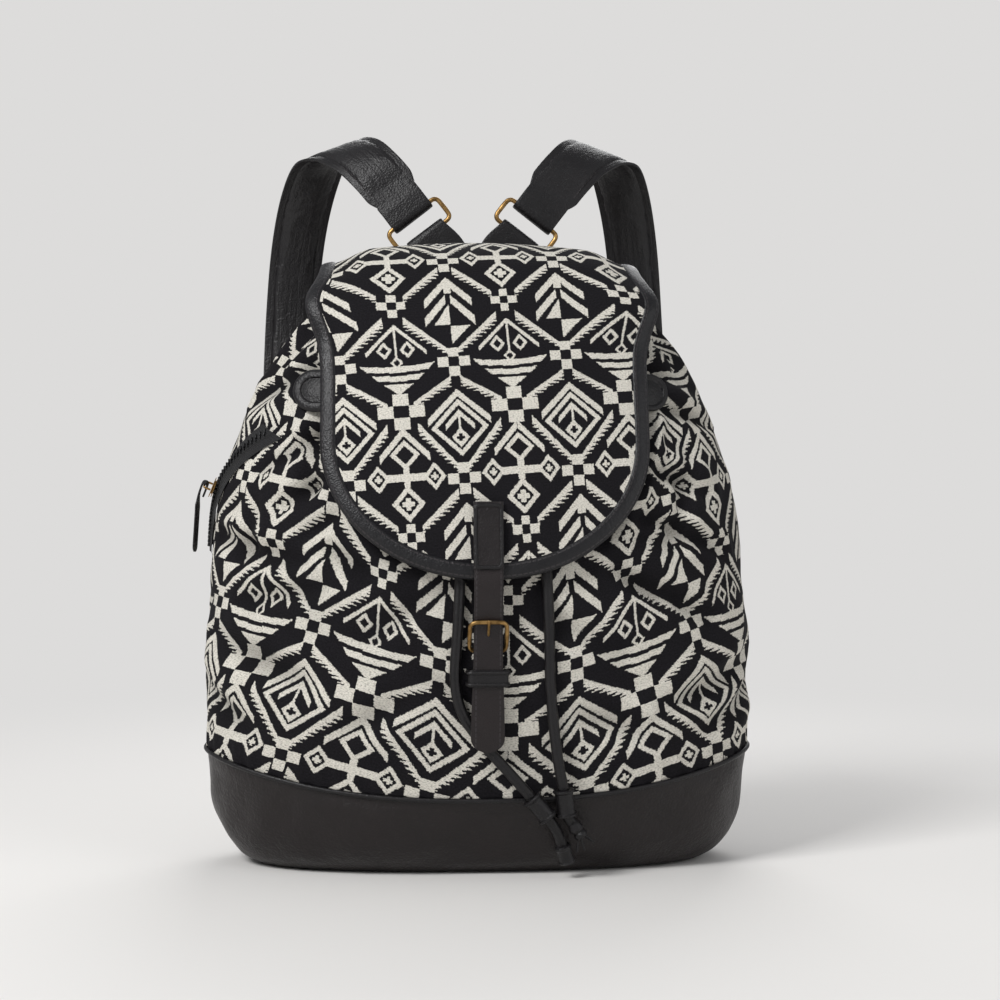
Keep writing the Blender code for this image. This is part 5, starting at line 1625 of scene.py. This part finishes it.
@dataclass
class Zip:
    """Side pocket zip: cloth tape, two rows of teeth, and a folded leather puller."""

    finishes: Finishes
    start: Pair = (-0.048, 0.278)
    rest: Pair = (-0.018, 0.243)
    end: Pair = (0.012, 0.203)
    lift: float = 0.0054
    start_rise: float = 0.0016
    tape: float = 0.017
    tape_rise: float = 0.0022
    rib: float = 0.0005
    tooth_size: Triple = (0.0030, 0.0014, 0.0010)
    tooth_lift: float = 0.0038
    bail_rise: float = 0.0058
    puller_turn: float = 0.0017
    hanging: Triple = (-0.06, -0.04, -1.0)

    def circle(self) -> tuple[Vector, Vector]:
        """Arc that the slider runs on.

        Returns:
            Its centre and its axis.
        """
        a = left_point(*self.start, self.lift + self.start_rise)
        b, c = left_point(*self.rest, self.lift), left_point(*self.end, self.lift)
        ab, ac = b - a, c - a
        axis = ab.cross(ac)
        middle = ac.length_squared * axis.cross(ab) + ab.length_squared * ac.cross(axis)
        return a + middle / (2.0 * axis.length_squared), axis.normalized()

    def seat(self) -> tuple[Vector, Vector, Vector, Vector]:
        """Where the slider stands at rest.

        Returns:
            Its place, the arc's axis, the way down the zip and the way out of the bag.
        """
        centre, axis = self.circle()
        here = left_point(*self.rest, self.lift)
        out = (here - centre).normalized()
        return here, axis, axis.cross(out).normalized(), out

    def stations(self, count: int, margin: float) -> list[Pair]:
        """Places along the zip.

        Args:
            count: Number of steps between them.
            margin: Share of the zip left out at each end.

        Returns:
            Depth and height of each place.
        """
        centre, axis = self.circle()
        first, last = (left_point(*place, self.lift) - centre for place in (self.start, self.end))
        total = first.angle(last)
        found = []
        for k in range(count + 1):
            turn = total * (margin + (1.0 - 2.0 * margin) * k / count)
            here = first * math.cos(turn) + axis.cross(first) * math.sin(turn) + centre
            found.append((here.y, here.z))
        return found

    def build(self) -> None:
        """Make the zip and its puller."""
        _, axis = self.circle()
        steps = 60
        rows = self.stations(steps, 0.0)

        def place(s: float, t: float) -> Vector:
            """Point of the tape: raised along its middle, with a rib on each side."""
            y, z = rows[int(round(t * steps))]
            offset = self.tape * (s - 0.5)
            rib = self.rib * math.exp(-((abs(s - 0.5) - 0.16) / 0.035) ** 2)
            rise = self.tape_rise * math.exp(-((s - 0.5) / 0.24) ** 2)
            return left_point(y + axis.y * offset, z + axis.z * offset, 0.0010 + rise + rib)

        tape = wrap_grid("zip_cloth_tape", 24, steps, place, lambda s, t: (self.tape * s, 0.095 * t))
        finish_piece(tape, self.finishes.zip_tape, Slot.ZIP, "zip_tape")
        places = []
        for k, (y, z) in enumerate(self.stations(64, 0.02)):
            side = 1.0 if k % 2 else -1.0
            centre = left_point(y + axis.y * 0.0009 * side, z + axis.z * 0.0009 * side, self.tooth_lift)
            up = (left_point(y, z, 0.003) - left_point(y, z, 0.002)).normalized()
            wide = (axis - up * axis.dot(up)).normalized()
            places.append((centre, wide, up, up.cross(wide)))
        teeth = boxes("zip_teeth_rows", places, self.tooth_size, 0.00025)
        finish_piece(teeth, self.finishes.teeth, Slot.ZIP, "zip_teeth")
        self.slider()
        self.puller()

    def slider(self) -> None:
        """Slider: two plates with a bridge between them, as large as the CAD's solid."""
        ways = self.seat()[1:]
        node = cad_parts["zip_slider"]
        corners = [node.matrix_world @ v.co for v in node.data.vertices]
        spans = [(min(c.dot(way) for c in corners), max(c.dot(way) for c in corners)) for way in ways]
        middle = sum(((low + high) / 2.0 * way for way, (low, high) in zip(ways, spans)), Vector())
        sizes = [high - low for low, high in spans]
        axis, down, out = ways
        plates = []
        for rise, thick, long, wide, shift in ((0.36, 0.28, 1.0, 1.0, 0.0), (-0.36, 0.28, 1.0, 0.8, 0.0),
                                               (0.0, 0.60, 0.35, 0.3, -0.3), (0.0, 0.55, 0.9, 0.16, 0.0)):
            place = middle + out * (rise * sizes[2]) + down * (shift * sizes[1])
            plates.append((place, axis * (wide * sizes[0]), down * (long * sizes[1]), out * (thick * sizes[2])))
        piece = boxes("zip_slider_body", plates, (1.0, 1.0, 1.0), 0.00012)
        finish_piece(piece, self.finishes.brass, Slot.BRASS, "zip_slider")
        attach(piece, "slider")

    def puller(self) -> None:
        """Leather strip that hangs from the slider's bail."""
        here, axis, down, out = self.seat()
        crown = here + out * self.bail_rise
        turn = [crown - down * (self.puller_turn * math.cos(a)) + out * (self.puller_turn * math.sin(a))
                for a in (math.radians(d) for d in (-90, -50, 0, 50, 90))]
        near = [crown - out * self.puller_turn + down * along for along in (0.009, 0.004)]
        far = [crown + out * self.puller_turn + down * 0.003]
        hanging = Vector(self.hanging).normalized()
        for k in range(8):
            far.append(far[-1] + down.lerp(hanging, smooth_between(-0.1, 0.32, k / 7)).normalized() * 0.0055)
        route = smooth_route(near + turn + far, 5)
        line = even_line(route, axis)

        def width(t: float) -> float:
            """Width of the puller: a narrow neck, a broad strip and a round end."""
            end = max(0.0, (t - 0.93) / 0.07)
            return (0.0042 + 0.0044 * smooth_between(0.36, 0.50, t)) * math.sqrt(max(0.05, 1.0 - end * end))

        piece = strip("zip_puller_leather", line, width, 0.0013, 80, around=18, power=5.0)
        finish_piece(piece, self.finishes.leather, Slot.LEATHER, "zip_puller")
        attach(piece, "puller")


@dataclass
class Drawcord:
    """One round cord down the front, with its guide, leather sleeve and end."""

    finishes: Finishes
    name: str
    rows: tuple[Triple, ...]
    sleeve_at: float
    frayed: bool
    width: float = 0.0068
    thickness: float = 0.0054
    seam_turn: float = 1.05
    guide_height: float = 0.335

    def points(self, steps: int) -> list[Vector]:
        """Smooth route of the cord."""
        return smooth_route([Vector((x, front_y(x, z) - lift, z)) for x, lift, z in self.rows], steps)

    def turned(self, name: str, centre: Vector, along: Vector,
               profile: Sequence[Pair]) -> bpy.types.Object:
        """Round piece along the cord.

        Args:
            name: Name of the piece.
            centre: Place on the cord.
            along: Direction of the cord there.
            profile: Pairs of distance along and radius, in millimetres.

        Returns:
            The new object, closed at both ends.
        """
        profile = [(a / MILLIMETRES, r / MILLIMETRES) for a, r in profile]
        wide = (Vector((0.0, -1.0, 0.0)) + along * along.y).normalized()
        line = Line([centre + along * a for a, _ in profile], [wide] * len(profile))
        last = len(profile) - 1

        def place(s: float, t: float) -> Vector:
            """Point at shares round and along the profile."""
            at = t * last
            k = min(last - 1, int(at))
            a, radius = (p + (q - p) * (at - k) for p, q in zip(profile[k], profile[k + 1]))
            turn = math.tau * s
            return centre + along * a + (wide * math.cos(turn) + along.cross(wide) * math.sin(turn)) * radius

        return wrap_grid(name, 24, last * 3, place, lambda s, t: (s * 0.03, t * line.length), closed=True, capped=True)

    def build(self) -> None:
        """Make the cord and what it carries."""
        route = self.points(6)
        line = even_line(route, RIGHT)

        def place(s: float, t: float) -> Vector:
            """Point of the cord's skin, with its sewn edge and the groove beside it."""
            point, wide, out = line.at(t)
            turn = math.tau * s
            past = turn - self.seam_turn
            seam = math.exp(-(past / 0.20) ** 2) - 0.9 * math.exp(-((past - 0.42) / 0.16) ** 2)
            size = 1.0 + 0.20 * seam
            return (point + wide * (math.cos(turn) * size * self.width / 2.0)
                    + out * (math.sin(turn) * size * self.thickness / 2.0))

        cord = wrap_grid("cord_" + self.name, 32, 260, place, lambda s, t: (s * 0.02, t * line.length), closed=True,
                         capped=True)
        finish_piece(cord, self.finishes.leather, Slot.LEATHER, "drawcord_" + self.name, sharp=60.0)
        fine = self.points(10)
        k = int(round(self.sleeve_at * 10))
        profile = [(-8.4, 3.7), (-8.6, 6.0), (-8.0, 6.8), (-7.0, 6.7), (-6.3, 5.8), (-3.0, 5.6), (0.0, 5.7), (3.0, 5.6),
                   (6.3, 5.8), (7.0, 6.7), (8.0, 6.8), (8.6, 6.0), (8.4, 3.7)]
        sleeve = self.turned("sleeve_" + self.name, fine[k], (fine[k + 1] - fine[k - 1]).normalized(), profile)
        finish_piece(sleeve, self.finishes.leather, Slot.LEATHER, "cord_sleeve_" + self.name)
        end = self.end(route)
        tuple(route[0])
        line.length
        self.guide()
        LOG.info("cord_%s is %.0f mm long", self.name, line.length * MILLIMETRES)

    def end(self, route: list[Vector]) -> list[bpy.types.Object]:
        """Bound end of the cord, or a knot with loose strands.

        Args:
            route: Route of the cord.

        Returns:
            The end and its strands.
        """
        tip, heading = route[-1], (route[-1] - route[-2]).normalized()
        if self.frayed:
            profile = [(-2.0, 3.4), (0.0, 4.2), (2.5, 4.8), (4.0, 3.9), (4.8, 3.4), (6.4, 4.4), (8.4, 4.2), (9.4, 2.6)]
        else:
            profile = [(-1.0, 3.3), (-0.4, 5.0), (0.8, 5.4), (2.0, 4.9), (6.2, 4.6), (9.4, 4.8), (10.4, 5.4),
                       (11.4, 5.0), (12.0, 3.2)]
        piece = self.turned("cord_tip_" + self.name, tip, heading, profile)
        finish_piece(piece, self.finishes.leather, Slot.LEATHER, "cord_end_" + self.name)
        found = [piece]
        side = heading.cross(BACK).normalized()
        for k, lean in enumerate((-1.0, -0.35, 0.5) if self.frayed else ()):
            start = tip + heading * 0.0075 + side * (0.0018 * lean)
            way = (heading + side * lean * 0.9).normalized()
            bent = smooth_route([start, start + way * 0.005, start + way * 0.009 + Vector((0.0, 0.0, -0.001))], 5)
            strand = strip(f"cord_strand_{k}", even_line(bent, side), 0.0016, 0.0012, 16,
                           around=8, power=2.0)
            found.append(finish_piece(strand, self.finishes.leather, Slot.LEATHER))
        return found

    def guide(self) -> None:
        """Small leather loop under the flap that the cord comes out of."""
        x, lift, height = self.rows[0][0], self.rows[0][1], self.guide_height
        near, far, half = 0.0017 - lift, 0.00425, 0.0049
        arch = [(-half - 0.003, near), (-half, near), (-half, far * 0.6), (-half * 0.6, far), (half * 0.6, far),
                (half, far * 0.6), (half, near), (half + 0.003, near)]
        route = smooth_route([Vector((x + a, front_y(x + a, height) - lift - b, height)) for a, b in arch], 3)
        upright = (front_point(x, height + 0.002, 0.0) - front_point(x, height - 0.002, 0.0)).normalized()
        piece = strip("guide_" + self.name, even_line(route, upright), 0.010, 0.0013, 40,
                      around=14, power=4.0)
        finish_piece(piece, self.finishes.leather, Slot.LEATHER, "cord_guide_" + self.name)


def swell(piece: bpy.types.Object, voxel: float, pressure: float, most: float) -> None:
    """Blow up a closed piece by cloth simulation, so that it looks stuffed.

    Args:
        piece: A closed mesh, a little thinner than it ends up.
        voxel: Size of the remesh.
        pressure: Pressure of the stuffing.
        most: How far a point may move.
    """
    shape_with(piece, "REMESH", mode="VOXEL", voxel_size=voxel)
    start = [v.co.copy() for v in piece.data.vertices]
    cloth = piece.modifiers.new("cloth", "CLOTH")
    cloth.settings.use_pressure = True
    cloth.settings.uniform_pressure_force = pressure
    cloth.settings.effector_weights.gravity = 0.0
    cloth.point_cache.frame_start, cloth.point_cache.frame_end = 1, 20
    for number in range(1, 21):
        bpy.context.scene.frame_set(number)
    bpy.ops.object.modifier_apply(modifier=cloth.name)
    bpy.context.scene.frame_set(1)
    far = 0.0
    for vertex, first in zip(piece.data.vertices, start):
        moved = vertex.co - first
        far = max(far, moved.length)
        if moved.length > most:
            vertex.co = first + moved.normalized() * most
    shape_with(piece, "SUBSURF", levels=1)
    LOG.info("%s swelled by up to %.1f mm", piece.name, far * MILLIMETRES)


def lay_along(piece: bpy.types.Object, line: Line, most: Callable[[float, float], float]) -> None:
    """Keep a strap's pad close to its line and give it a flat UV map in metres.

    Args:
        piece: The pad.
        line: The strap's middle line.
        most: Most rise over the line at a place across and along.
    """
    stations = [line.at(k / 400) for k in range(401)]
    tree = kdtree.KDTree(len(stations))
    for k, (point, _, _) in enumerate(stations):
        tree.insert(point, k)
    tree.balance()
    flat = []
    for vertex in piece.data.vertices:
        k = tree.find(vertex.co)[1]
        point, wide, out = stations[k]
        away = vertex.co - point
        across, rise = away.dot(wide), away.dot(out)
        mark = k / 400 * line.length + away.dot(wide.cross(out))
        limit = most(across, mark)
        if abs(rise) > limit:
            vertex.co -= out * (rise - math.copysign(limit, rise))
        flat.append((across, mark))
    layer = piece.data.uv_layers.get("flat") or piece.data.uv_layers.new(name="flat")
    for loop in piece.data.loops:
        layer.data[loop.index].uv = flat[loop.vertex_index]


@dataclass
class Shoulder:
    """Loop on the back, end loop, padded strap, webbing and lower anchor of one side."""

    finishes: Finishes
    name: str
    side: float
    tilt: float = math.radians(38.0)
    bar_away: float = 0.0090
    fold_radius: float = 0.0034
    anchor_x: float = 0.139
    webbing_width: float = 0.025
    # Middle line of the padded strap: across, depth and height
    route: tuple[Triple, ...] = (
        (0.0495, 0.0625, 0.4425), (0.0560, 0.0650, 0.4515), (0.0670, 0.0700, 0.4650), (0.0800, 0.0820, 0.4780),
        (0.0940, 0.1010, 0.4835), (0.1070, 0.1230, 0.4760), (0.1170, 0.1420, 0.4530), (0.1240, 0.1550, 0.4180),
        (0.1280, 0.1605, 0.3720), (0.1300, 0.1575, 0.3220), (0.1310, 0.1480, 0.2750), (0.1312, 0.1340, 0.2320))

    def __post_init__(self) -> None:
        """Work out how the brass ring stands."""
        side = self.side
        self.up = Vector((side * math.sin(self.tilt), 0.06, math.cos(self.tilt))).normalized()
        self.wide = Vector((math.cos(self.tilt), 0.0, -side * math.sin(self.tilt)))
        normal = self.wide.cross(self.up).normalized()
        self.normal = normal if normal.y > 0 else -normal
        self.ring = Vector((side * 0.0372, 0.0612, 0.4265))

    def folded(self, name: str, line: list[Vector], normals: list[Vector], gaps: list[float], centre: Vector,
               up: Vector, across: list[Vector], width: float, node: str) -> None:
        """Strip folded round a bar: two legs and the turn between them.

        Args:
            name: Name of the piece.
            line: Middle line between the legs, up to the bar.
            normals: Direction from one leg to the other at each point.
            gaps: Distance of each leg from the line at each point.
            centre: Middle of the bar.
            up: Direction from the legs to the bar.
            across: Width direction at each point.
            width: Width of the strip.
            node: CAD node that it replaces.
        """
        radius = self.fold_radius
        turn = [centre + self.normal * (radius * math.cos(a)) + up * (radius * math.sin(a))
                for a in (math.radians(d) for d in range(0, 181, 20))]
        route = [p + n * g for p, n, g in zip(line, normals, gaps)] + turn
        route += [p - n * g for p, n, g in zip(line, normals, gaps)][::-1]
        wide = across + [across[-1]] * len(turn) + across[::-1]
        piece = strip(name, Line(route, wide), width, 0.0021, 120, around=20, power=6.0)
        finish_piece(piece, self.finishes.leather, Slot.LEATHER, node)

    def anchor_loop(self) -> None:
        """Leather loop from the back round the ring's lower bar."""
        bar = self.ring - self.up * self.bar_away
        behind = back_y(0.0, FLAP_BACK_HEIGHT) + 0.0034 + 0.0013 + 0.0003 + 0.0010 + 0.0013
        base = Vector((self.side * 0.026, behind, 0.352))
        points = [base, Vector((self.side * 0.0265, behind, 0.372)),
                  bar - self.up * 0.022 - Vector((self.side * 0.001, 0.0, 0.0)), bar]
        line = smooth_route(points, 6)[:-1]
        last = len(line)
        across = [RIGHT.lerp(self.wide, smooth_between(0.3, 1.0, k / last)) for k in range(last)]
        gaps = [0.0013 + (self.fold_radius - 0.0013) * smooth_between(0.45, 1.0, k / last) for k in range(last)]
        normals = [BACK.lerp(self.normal, k / last).normalized() for k in range(last)]
        self.folded("back_loop_" + self.name, line, normals, gaps, bar, self.up, across, 0.030,
                    "anchor_loop_" + self.name)

    def pad(self) -> Line:
        """Middle line of the padded strap.

        Returns:
            The line, from the ring down the back.
        """
        route = smooth_route([Vector((self.side * x, y, z)) for x, y, z in self.route], 8)
        start = Vector((math.cos(self.tilt), 0.0, -self.side * math.sin(self.tilt)))
        last = len(route) - 1
        across = [start.lerp(RIGHT, smooth_between(0.05, 0.75, k / last)) for k in range(last + 1)]
        return Line(route, across)

    def build(self) -> None:
        """Make every leather and cloth part of this side."""
        self.anchor_loop()
        line = self.pad()
        bar = self.ring + self.up * self.bar_away
        grip = (line.points[16] - line.points[0]).normalized()
        first = line.points[0]
        ends = [first + grip * 0.007, first + grip * 0.003, first, bar + self.up * 0.0015]
        gaps = [0.0027, 0.0027, 0.0027, self.fold_radius]
        self.folded("end_loop_" + self.name, ends, [self.normal] * 4, gaps, bar, -self.up, [self.wide] * 4, 0.032,
                    "strap_end_loop_" + self.name)
        self.padded_strap(line)
        self.lower_strap(line)

    def padded_strap(self, line: Line) -> None:
        """Stitched leather strap with a swollen pad along its middle.

        Args:
            line: Middle line of the strap.
        """
        edge = strip("strap_edge_" + self.name, line,
                     lambda t: 0.030 + 0.008 * smooth_between(0.002, 0.016, t * line.length), 0.0026, 200,
                     around=28, power=6.0)
        finish_piece(edge, self.finishes.edge_leather, Slot.LEATHER, "shoulder_strap_" + self.name)

        def place(s: float, t: float) -> Vector:
            """Point of the pad before it swells, thin at both ends."""
            mark = 0.006 + t * (line.length - 0.012)
            point, wide, out = line.at(mark / line.length)
            end = smooth_between(0.0, 0.020, min(mark - 0.006, line.length - 0.006 - mark))
            turn = math.tau * s
            across = signed_power(math.cos(turn), 0.8) * 0.0160
            return point + wide * across + out * (signed_power(math.sin(turn), 0.8) * (0.0024 + 0.0016 * end))

        def most(across: float, mark: float) -> float:
            """Most rise of the pad: a dome across, tapered toward both ends."""
            dome = math.sqrt(max(0.0, 1.0 - (abs(across) / 0.0164) ** 4))
            taper = smooth_between(0.008, 0.045, mark) * smooth_between(0.0, 0.022, line.length - mark)
            return 0.0009 + 0.0037 * dome * taper

        pad = wrap_grid("strap_pad_" + self.name, 28, 150, place, lambda s, t: (0.03 * s, t * line.length), closed=True,
                        capped=True)
        swell(pad, 0.003, 4.0, 0.005)
        lay_along(pad, line, most)
        finish_piece(pad, self.finishes.pad_leather, Slot.LEATHER, "shoulder_strap_" + self.name, sharp=80.0)

    def lower_strap(self, pad: Line) -> None:
        """Webbing from behind the pad to the anchor tab low on the back.

        Args:
            pad: Middle line of the padded strap.
        """
        anchor = self.side * self.anchor_x
        start = []
        for share in (0.93, 0.955, 0.98, 1.0):
            point, _, out = pad.at(share)
            start.append(point + (out if out.y < 0 else -out) * 0.0053)
        middle = [Vector((self.side * x, y, z)) for x, y, z in
                  ((0.1320, 0.1145, 0.198), (0.1340, 0.0980, 0.152), (0.1370, 0.0820, 0.110))]
        seat = 0.0024 + 0.00135 + 0.00125 + 0.00125 + 0.0009 + 0.0008
        ends = [back_point(anchor, z, seat) for z in (0.076, 0.058, 0.042)]
        route = smooth_route(start + middle + ends, 6)
        low = (back_point(anchor + 0.01, 0.06, 0.0) - back_point(anchor - 0.01, 0.06, 0.0)).normalized()
        last = len(route) - 1
        across = [RIGHT.lerp(low, smooth_between(0.5, 0.9, k / last)) for k in range(last + 1)]
        web = strip("webbing_" + self.name, Line(route, across), self.webbing_width, 0.0017, 120,
                    around=20, power=7.0)
        finish_piece(web, self.finishes.webbing, Slot.WEBBING, "lower_webbing_" + self.name)

        def place(s: float, t: float) -> Vector:
            """Point of the anchor tab, narrower toward its top."""
            z = 0.034 + 0.046 * t
            share = 1.0 - 0.35 * smooth_between(0.054, 0.080, z)
            dome = 0.0003 * (1.0 - (2.0 * s - 1.0) ** 2)
            return back_point(anchor + 0.030 * share * (s - 0.5), z, 0.0050 + dome)

        tab = wrap_grid("anchor_tab_" + self.name, 24, 40, place, lambda s, t: (s * 0.03, t * 0.046))
        finish_piece(tab, self.finishes.leather, Slot.LEATHER, "lower_anchor_" + self.name)
        shape_with(tab, "SOLIDIFY", thickness=0.0024, offset=1.0)


@dataclass(frozen=True)
class Studio:
    """Camera at the photo's angle, pale floor and soft light."""

    backdrop: str = "#dddcdb"
    lens: float = 75.6
    distance: float = 1.4
    turned: float = -4.0
    target: Triple = (0.0147, 0.0, 0.236)
    lit: Triple = (0.0, 0.0, 0.22)
    sky: tuple[str, float] = ("#e2e3e6", 0.46)

    def camera(self) -> None:
        """Camera in front of the bag, slightly to its left."""
        data = bpy.data.cameras.new("photo_camera")
        data.lens, data.sensor_width = self.lens, 36.0
        camera = bpy.data.objects.new("photo_camera", data)
        bpy.context.scene.collection.objects.link(camera)
        target = Vector(self.target)
        turn = math.radians(self.turned)
        camera.location = target + Vector((math.sin(turn), -math.cos(turn), 0.0)) * self.distance
        camera.rotation_euler = (target - camera.location).to_track_quat("-Z", "Y").to_euler()
        bpy.context.scene.camera = camera

    def light(self, name: str, place: Triple, size: float, power: float) -> bpy.types.Object:
        """Soft square light that faces the bag.

        Args:
            name: Name of the lamp.
            place: Where it stands.
            size: Side of the square.
            power: Power in watts.

        Returns:
            The lamp.
        """
        data = bpy.data.lights.new(name, "AREA")
        data.energy, data.size = power, size
        lamp = bpy.data.objects.new(name, data)
        bpy.context.scene.collection.objects.link(lamp)
        lamp.location = place
        lamp.rotation_euler = (Vector(self.lit) - lamp.location).to_track_quat("-Z", "Y").to_euler()
        return lamp

    def build(self) -> None:
        """Make the studio."""
        self.camera()
        bpy.ops.object.select_all(action="DESELECT")
        bpy.ops.mesh.primitive_plane_add(size=12.0, location=(0.0, 0.0, -0.0015))
        floor = bpy.context.object
        floor.name = "pale_floor"
        floor.data.materials.append(StudioPaint("pale_floor_paint", "#e9e7e4", self.backdrop).make())
        lamps = [self.light("key_light", (-1.3, -1.4, 1.7), 0.9, 44.0),
                 self.light("fill_light", (1.6, -1.3, 0.9), 1.6, 8.0),
                 self.light("back_light", (0.3, 1.6, 1.4), 1.2, 16.0)]
        world = bpy.data.worlds.new("studio_sky")
        bpy.context.scene.world = world
        world.use_nodes = True
        nodes, links = world.node_tree.nodes, world.node_tree.links
        soft, seen = nodes["Background"], nodes.new("ShaderNodeBackground")
        for node, (tone, strength) in ((soft, self.sky), (seen, (self.backdrop, 1.0))):
            node.inputs["Color"].default_value, node.inputs["Strength"].default_value = colour(tone), strength
        ray, mix = nodes.new("ShaderNodeLightPath"), nodes.new("ShaderNodeMixShader")
        links.new(ray.outputs["Is Camera Ray"], mix.inputs[0])
        links.new(soft.outputs[0], mix.inputs[1])
        links.new(seen.outputs[0], mix.inputs[2])
        links.new(mix.outputs[0], nodes["World Output"].inputs["Surface"])
        bpy.context.scene.view_settings.view_transform = "Standard"


LEFT_CORD = (
    (-0.0220, 0.0037, 0.342), (-0.0220, 0.0037, 0.325), (-0.0213, 0.0038, 0.300), (-0.0200, 0.0034, 0.265),
    (-0.0180, 0.0034, 0.228), (-0.0170, 0.0034, 0.190), (-0.0185, 0.0034, 0.155), (-0.0200, 0.0034, 0.125),
    (-0.0160, 0.0038, 0.105), (-0.0045, 0.0048, 0.087), (0.0120, 0.0068, 0.0685), (0.0275, 0.0090, 0.0510),
    (0.0375, 0.0110, 0.0390), (0.0440, 0.0120, 0.0290), (0.0475, 0.0125, 0.0195),
)
RIGHT_CORD = (
    (0.0220, 0.0037, 0.342), (0.0225, 0.0037, 0.325), (0.0255, 0.0038, 0.295), (0.0300, 0.0034, 0.258),
    (0.0345, 0.0034, 0.222), (0.0370, 0.0034, 0.190), (0.0385, 0.0034, 0.155), (0.0392, 0.0036, 0.124),
    (0.0415, 0.0050, 0.095), (0.0445, 0.0072, 0.072), (0.0475, 0.0092, 0.056), (0.0500, 0.0110, 0.040),
    (0.0545, 0.0122, 0.0330),
)
BRASS_NODES = ("buckle_frame", "buckle_prong", "slider_bail", "strap_ring_left", "strap_ring_right",
               "strap_adjuster_left", "strap_adjuster_right")


def dress_brass(finishes: Finishes) -> None:
    """Give the CAD's own brass pieces the aged finish and rounder wires.

    Args:
        finishes: Materials of the bag.
    """
    for name in BRASS_NODES:
        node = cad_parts[name]
        node.data.materials.clear()
        node.data.materials.append(finishes.brass)
        node.modifiers.new("joined_corners", "WELD").merge_threshold = 1e-5
        if name.startswith("strap_adjuster"):
            worn = node.modifiers.new("worn_edges", "BEVEL")
            worn.width, worn.segments = 0.0004, 2
        else:
            smooth = node.modifiers.new("rounder", "SUBSURF")
            smooth.levels = smooth.render_levels = 2
            node.data.shade_smooth()
        LOG.info("%s keeps its CAD shape", name)


def main() -> None:
    """Build the studio and every part of the bag."""
    logging.basicConfig(level=logging.INFO, format="%(name)s: %(message)s")
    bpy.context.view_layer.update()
    finishes = Finishes()
    Studio().build()
    Drawcord(finishes, "left", LEFT_CORD, 11.5, frayed=False).build()
    Drawcord(finishes, "right", RIGHT_CORD, 10.5, frayed=True).build()
    Body(finishes).build()
    Base(finishes).build()
    Flap(finishes).build()
    Closure(finishes).build()
    SideTabs(finishes).build()
    Zip(finishes).build()
    Shoulder(finishes, "left", -1.0).build()
    Shoulder(finishes, "right", 1.0).build()
    dress_brass(finishes)


if __name__ == "__main__":
    main()
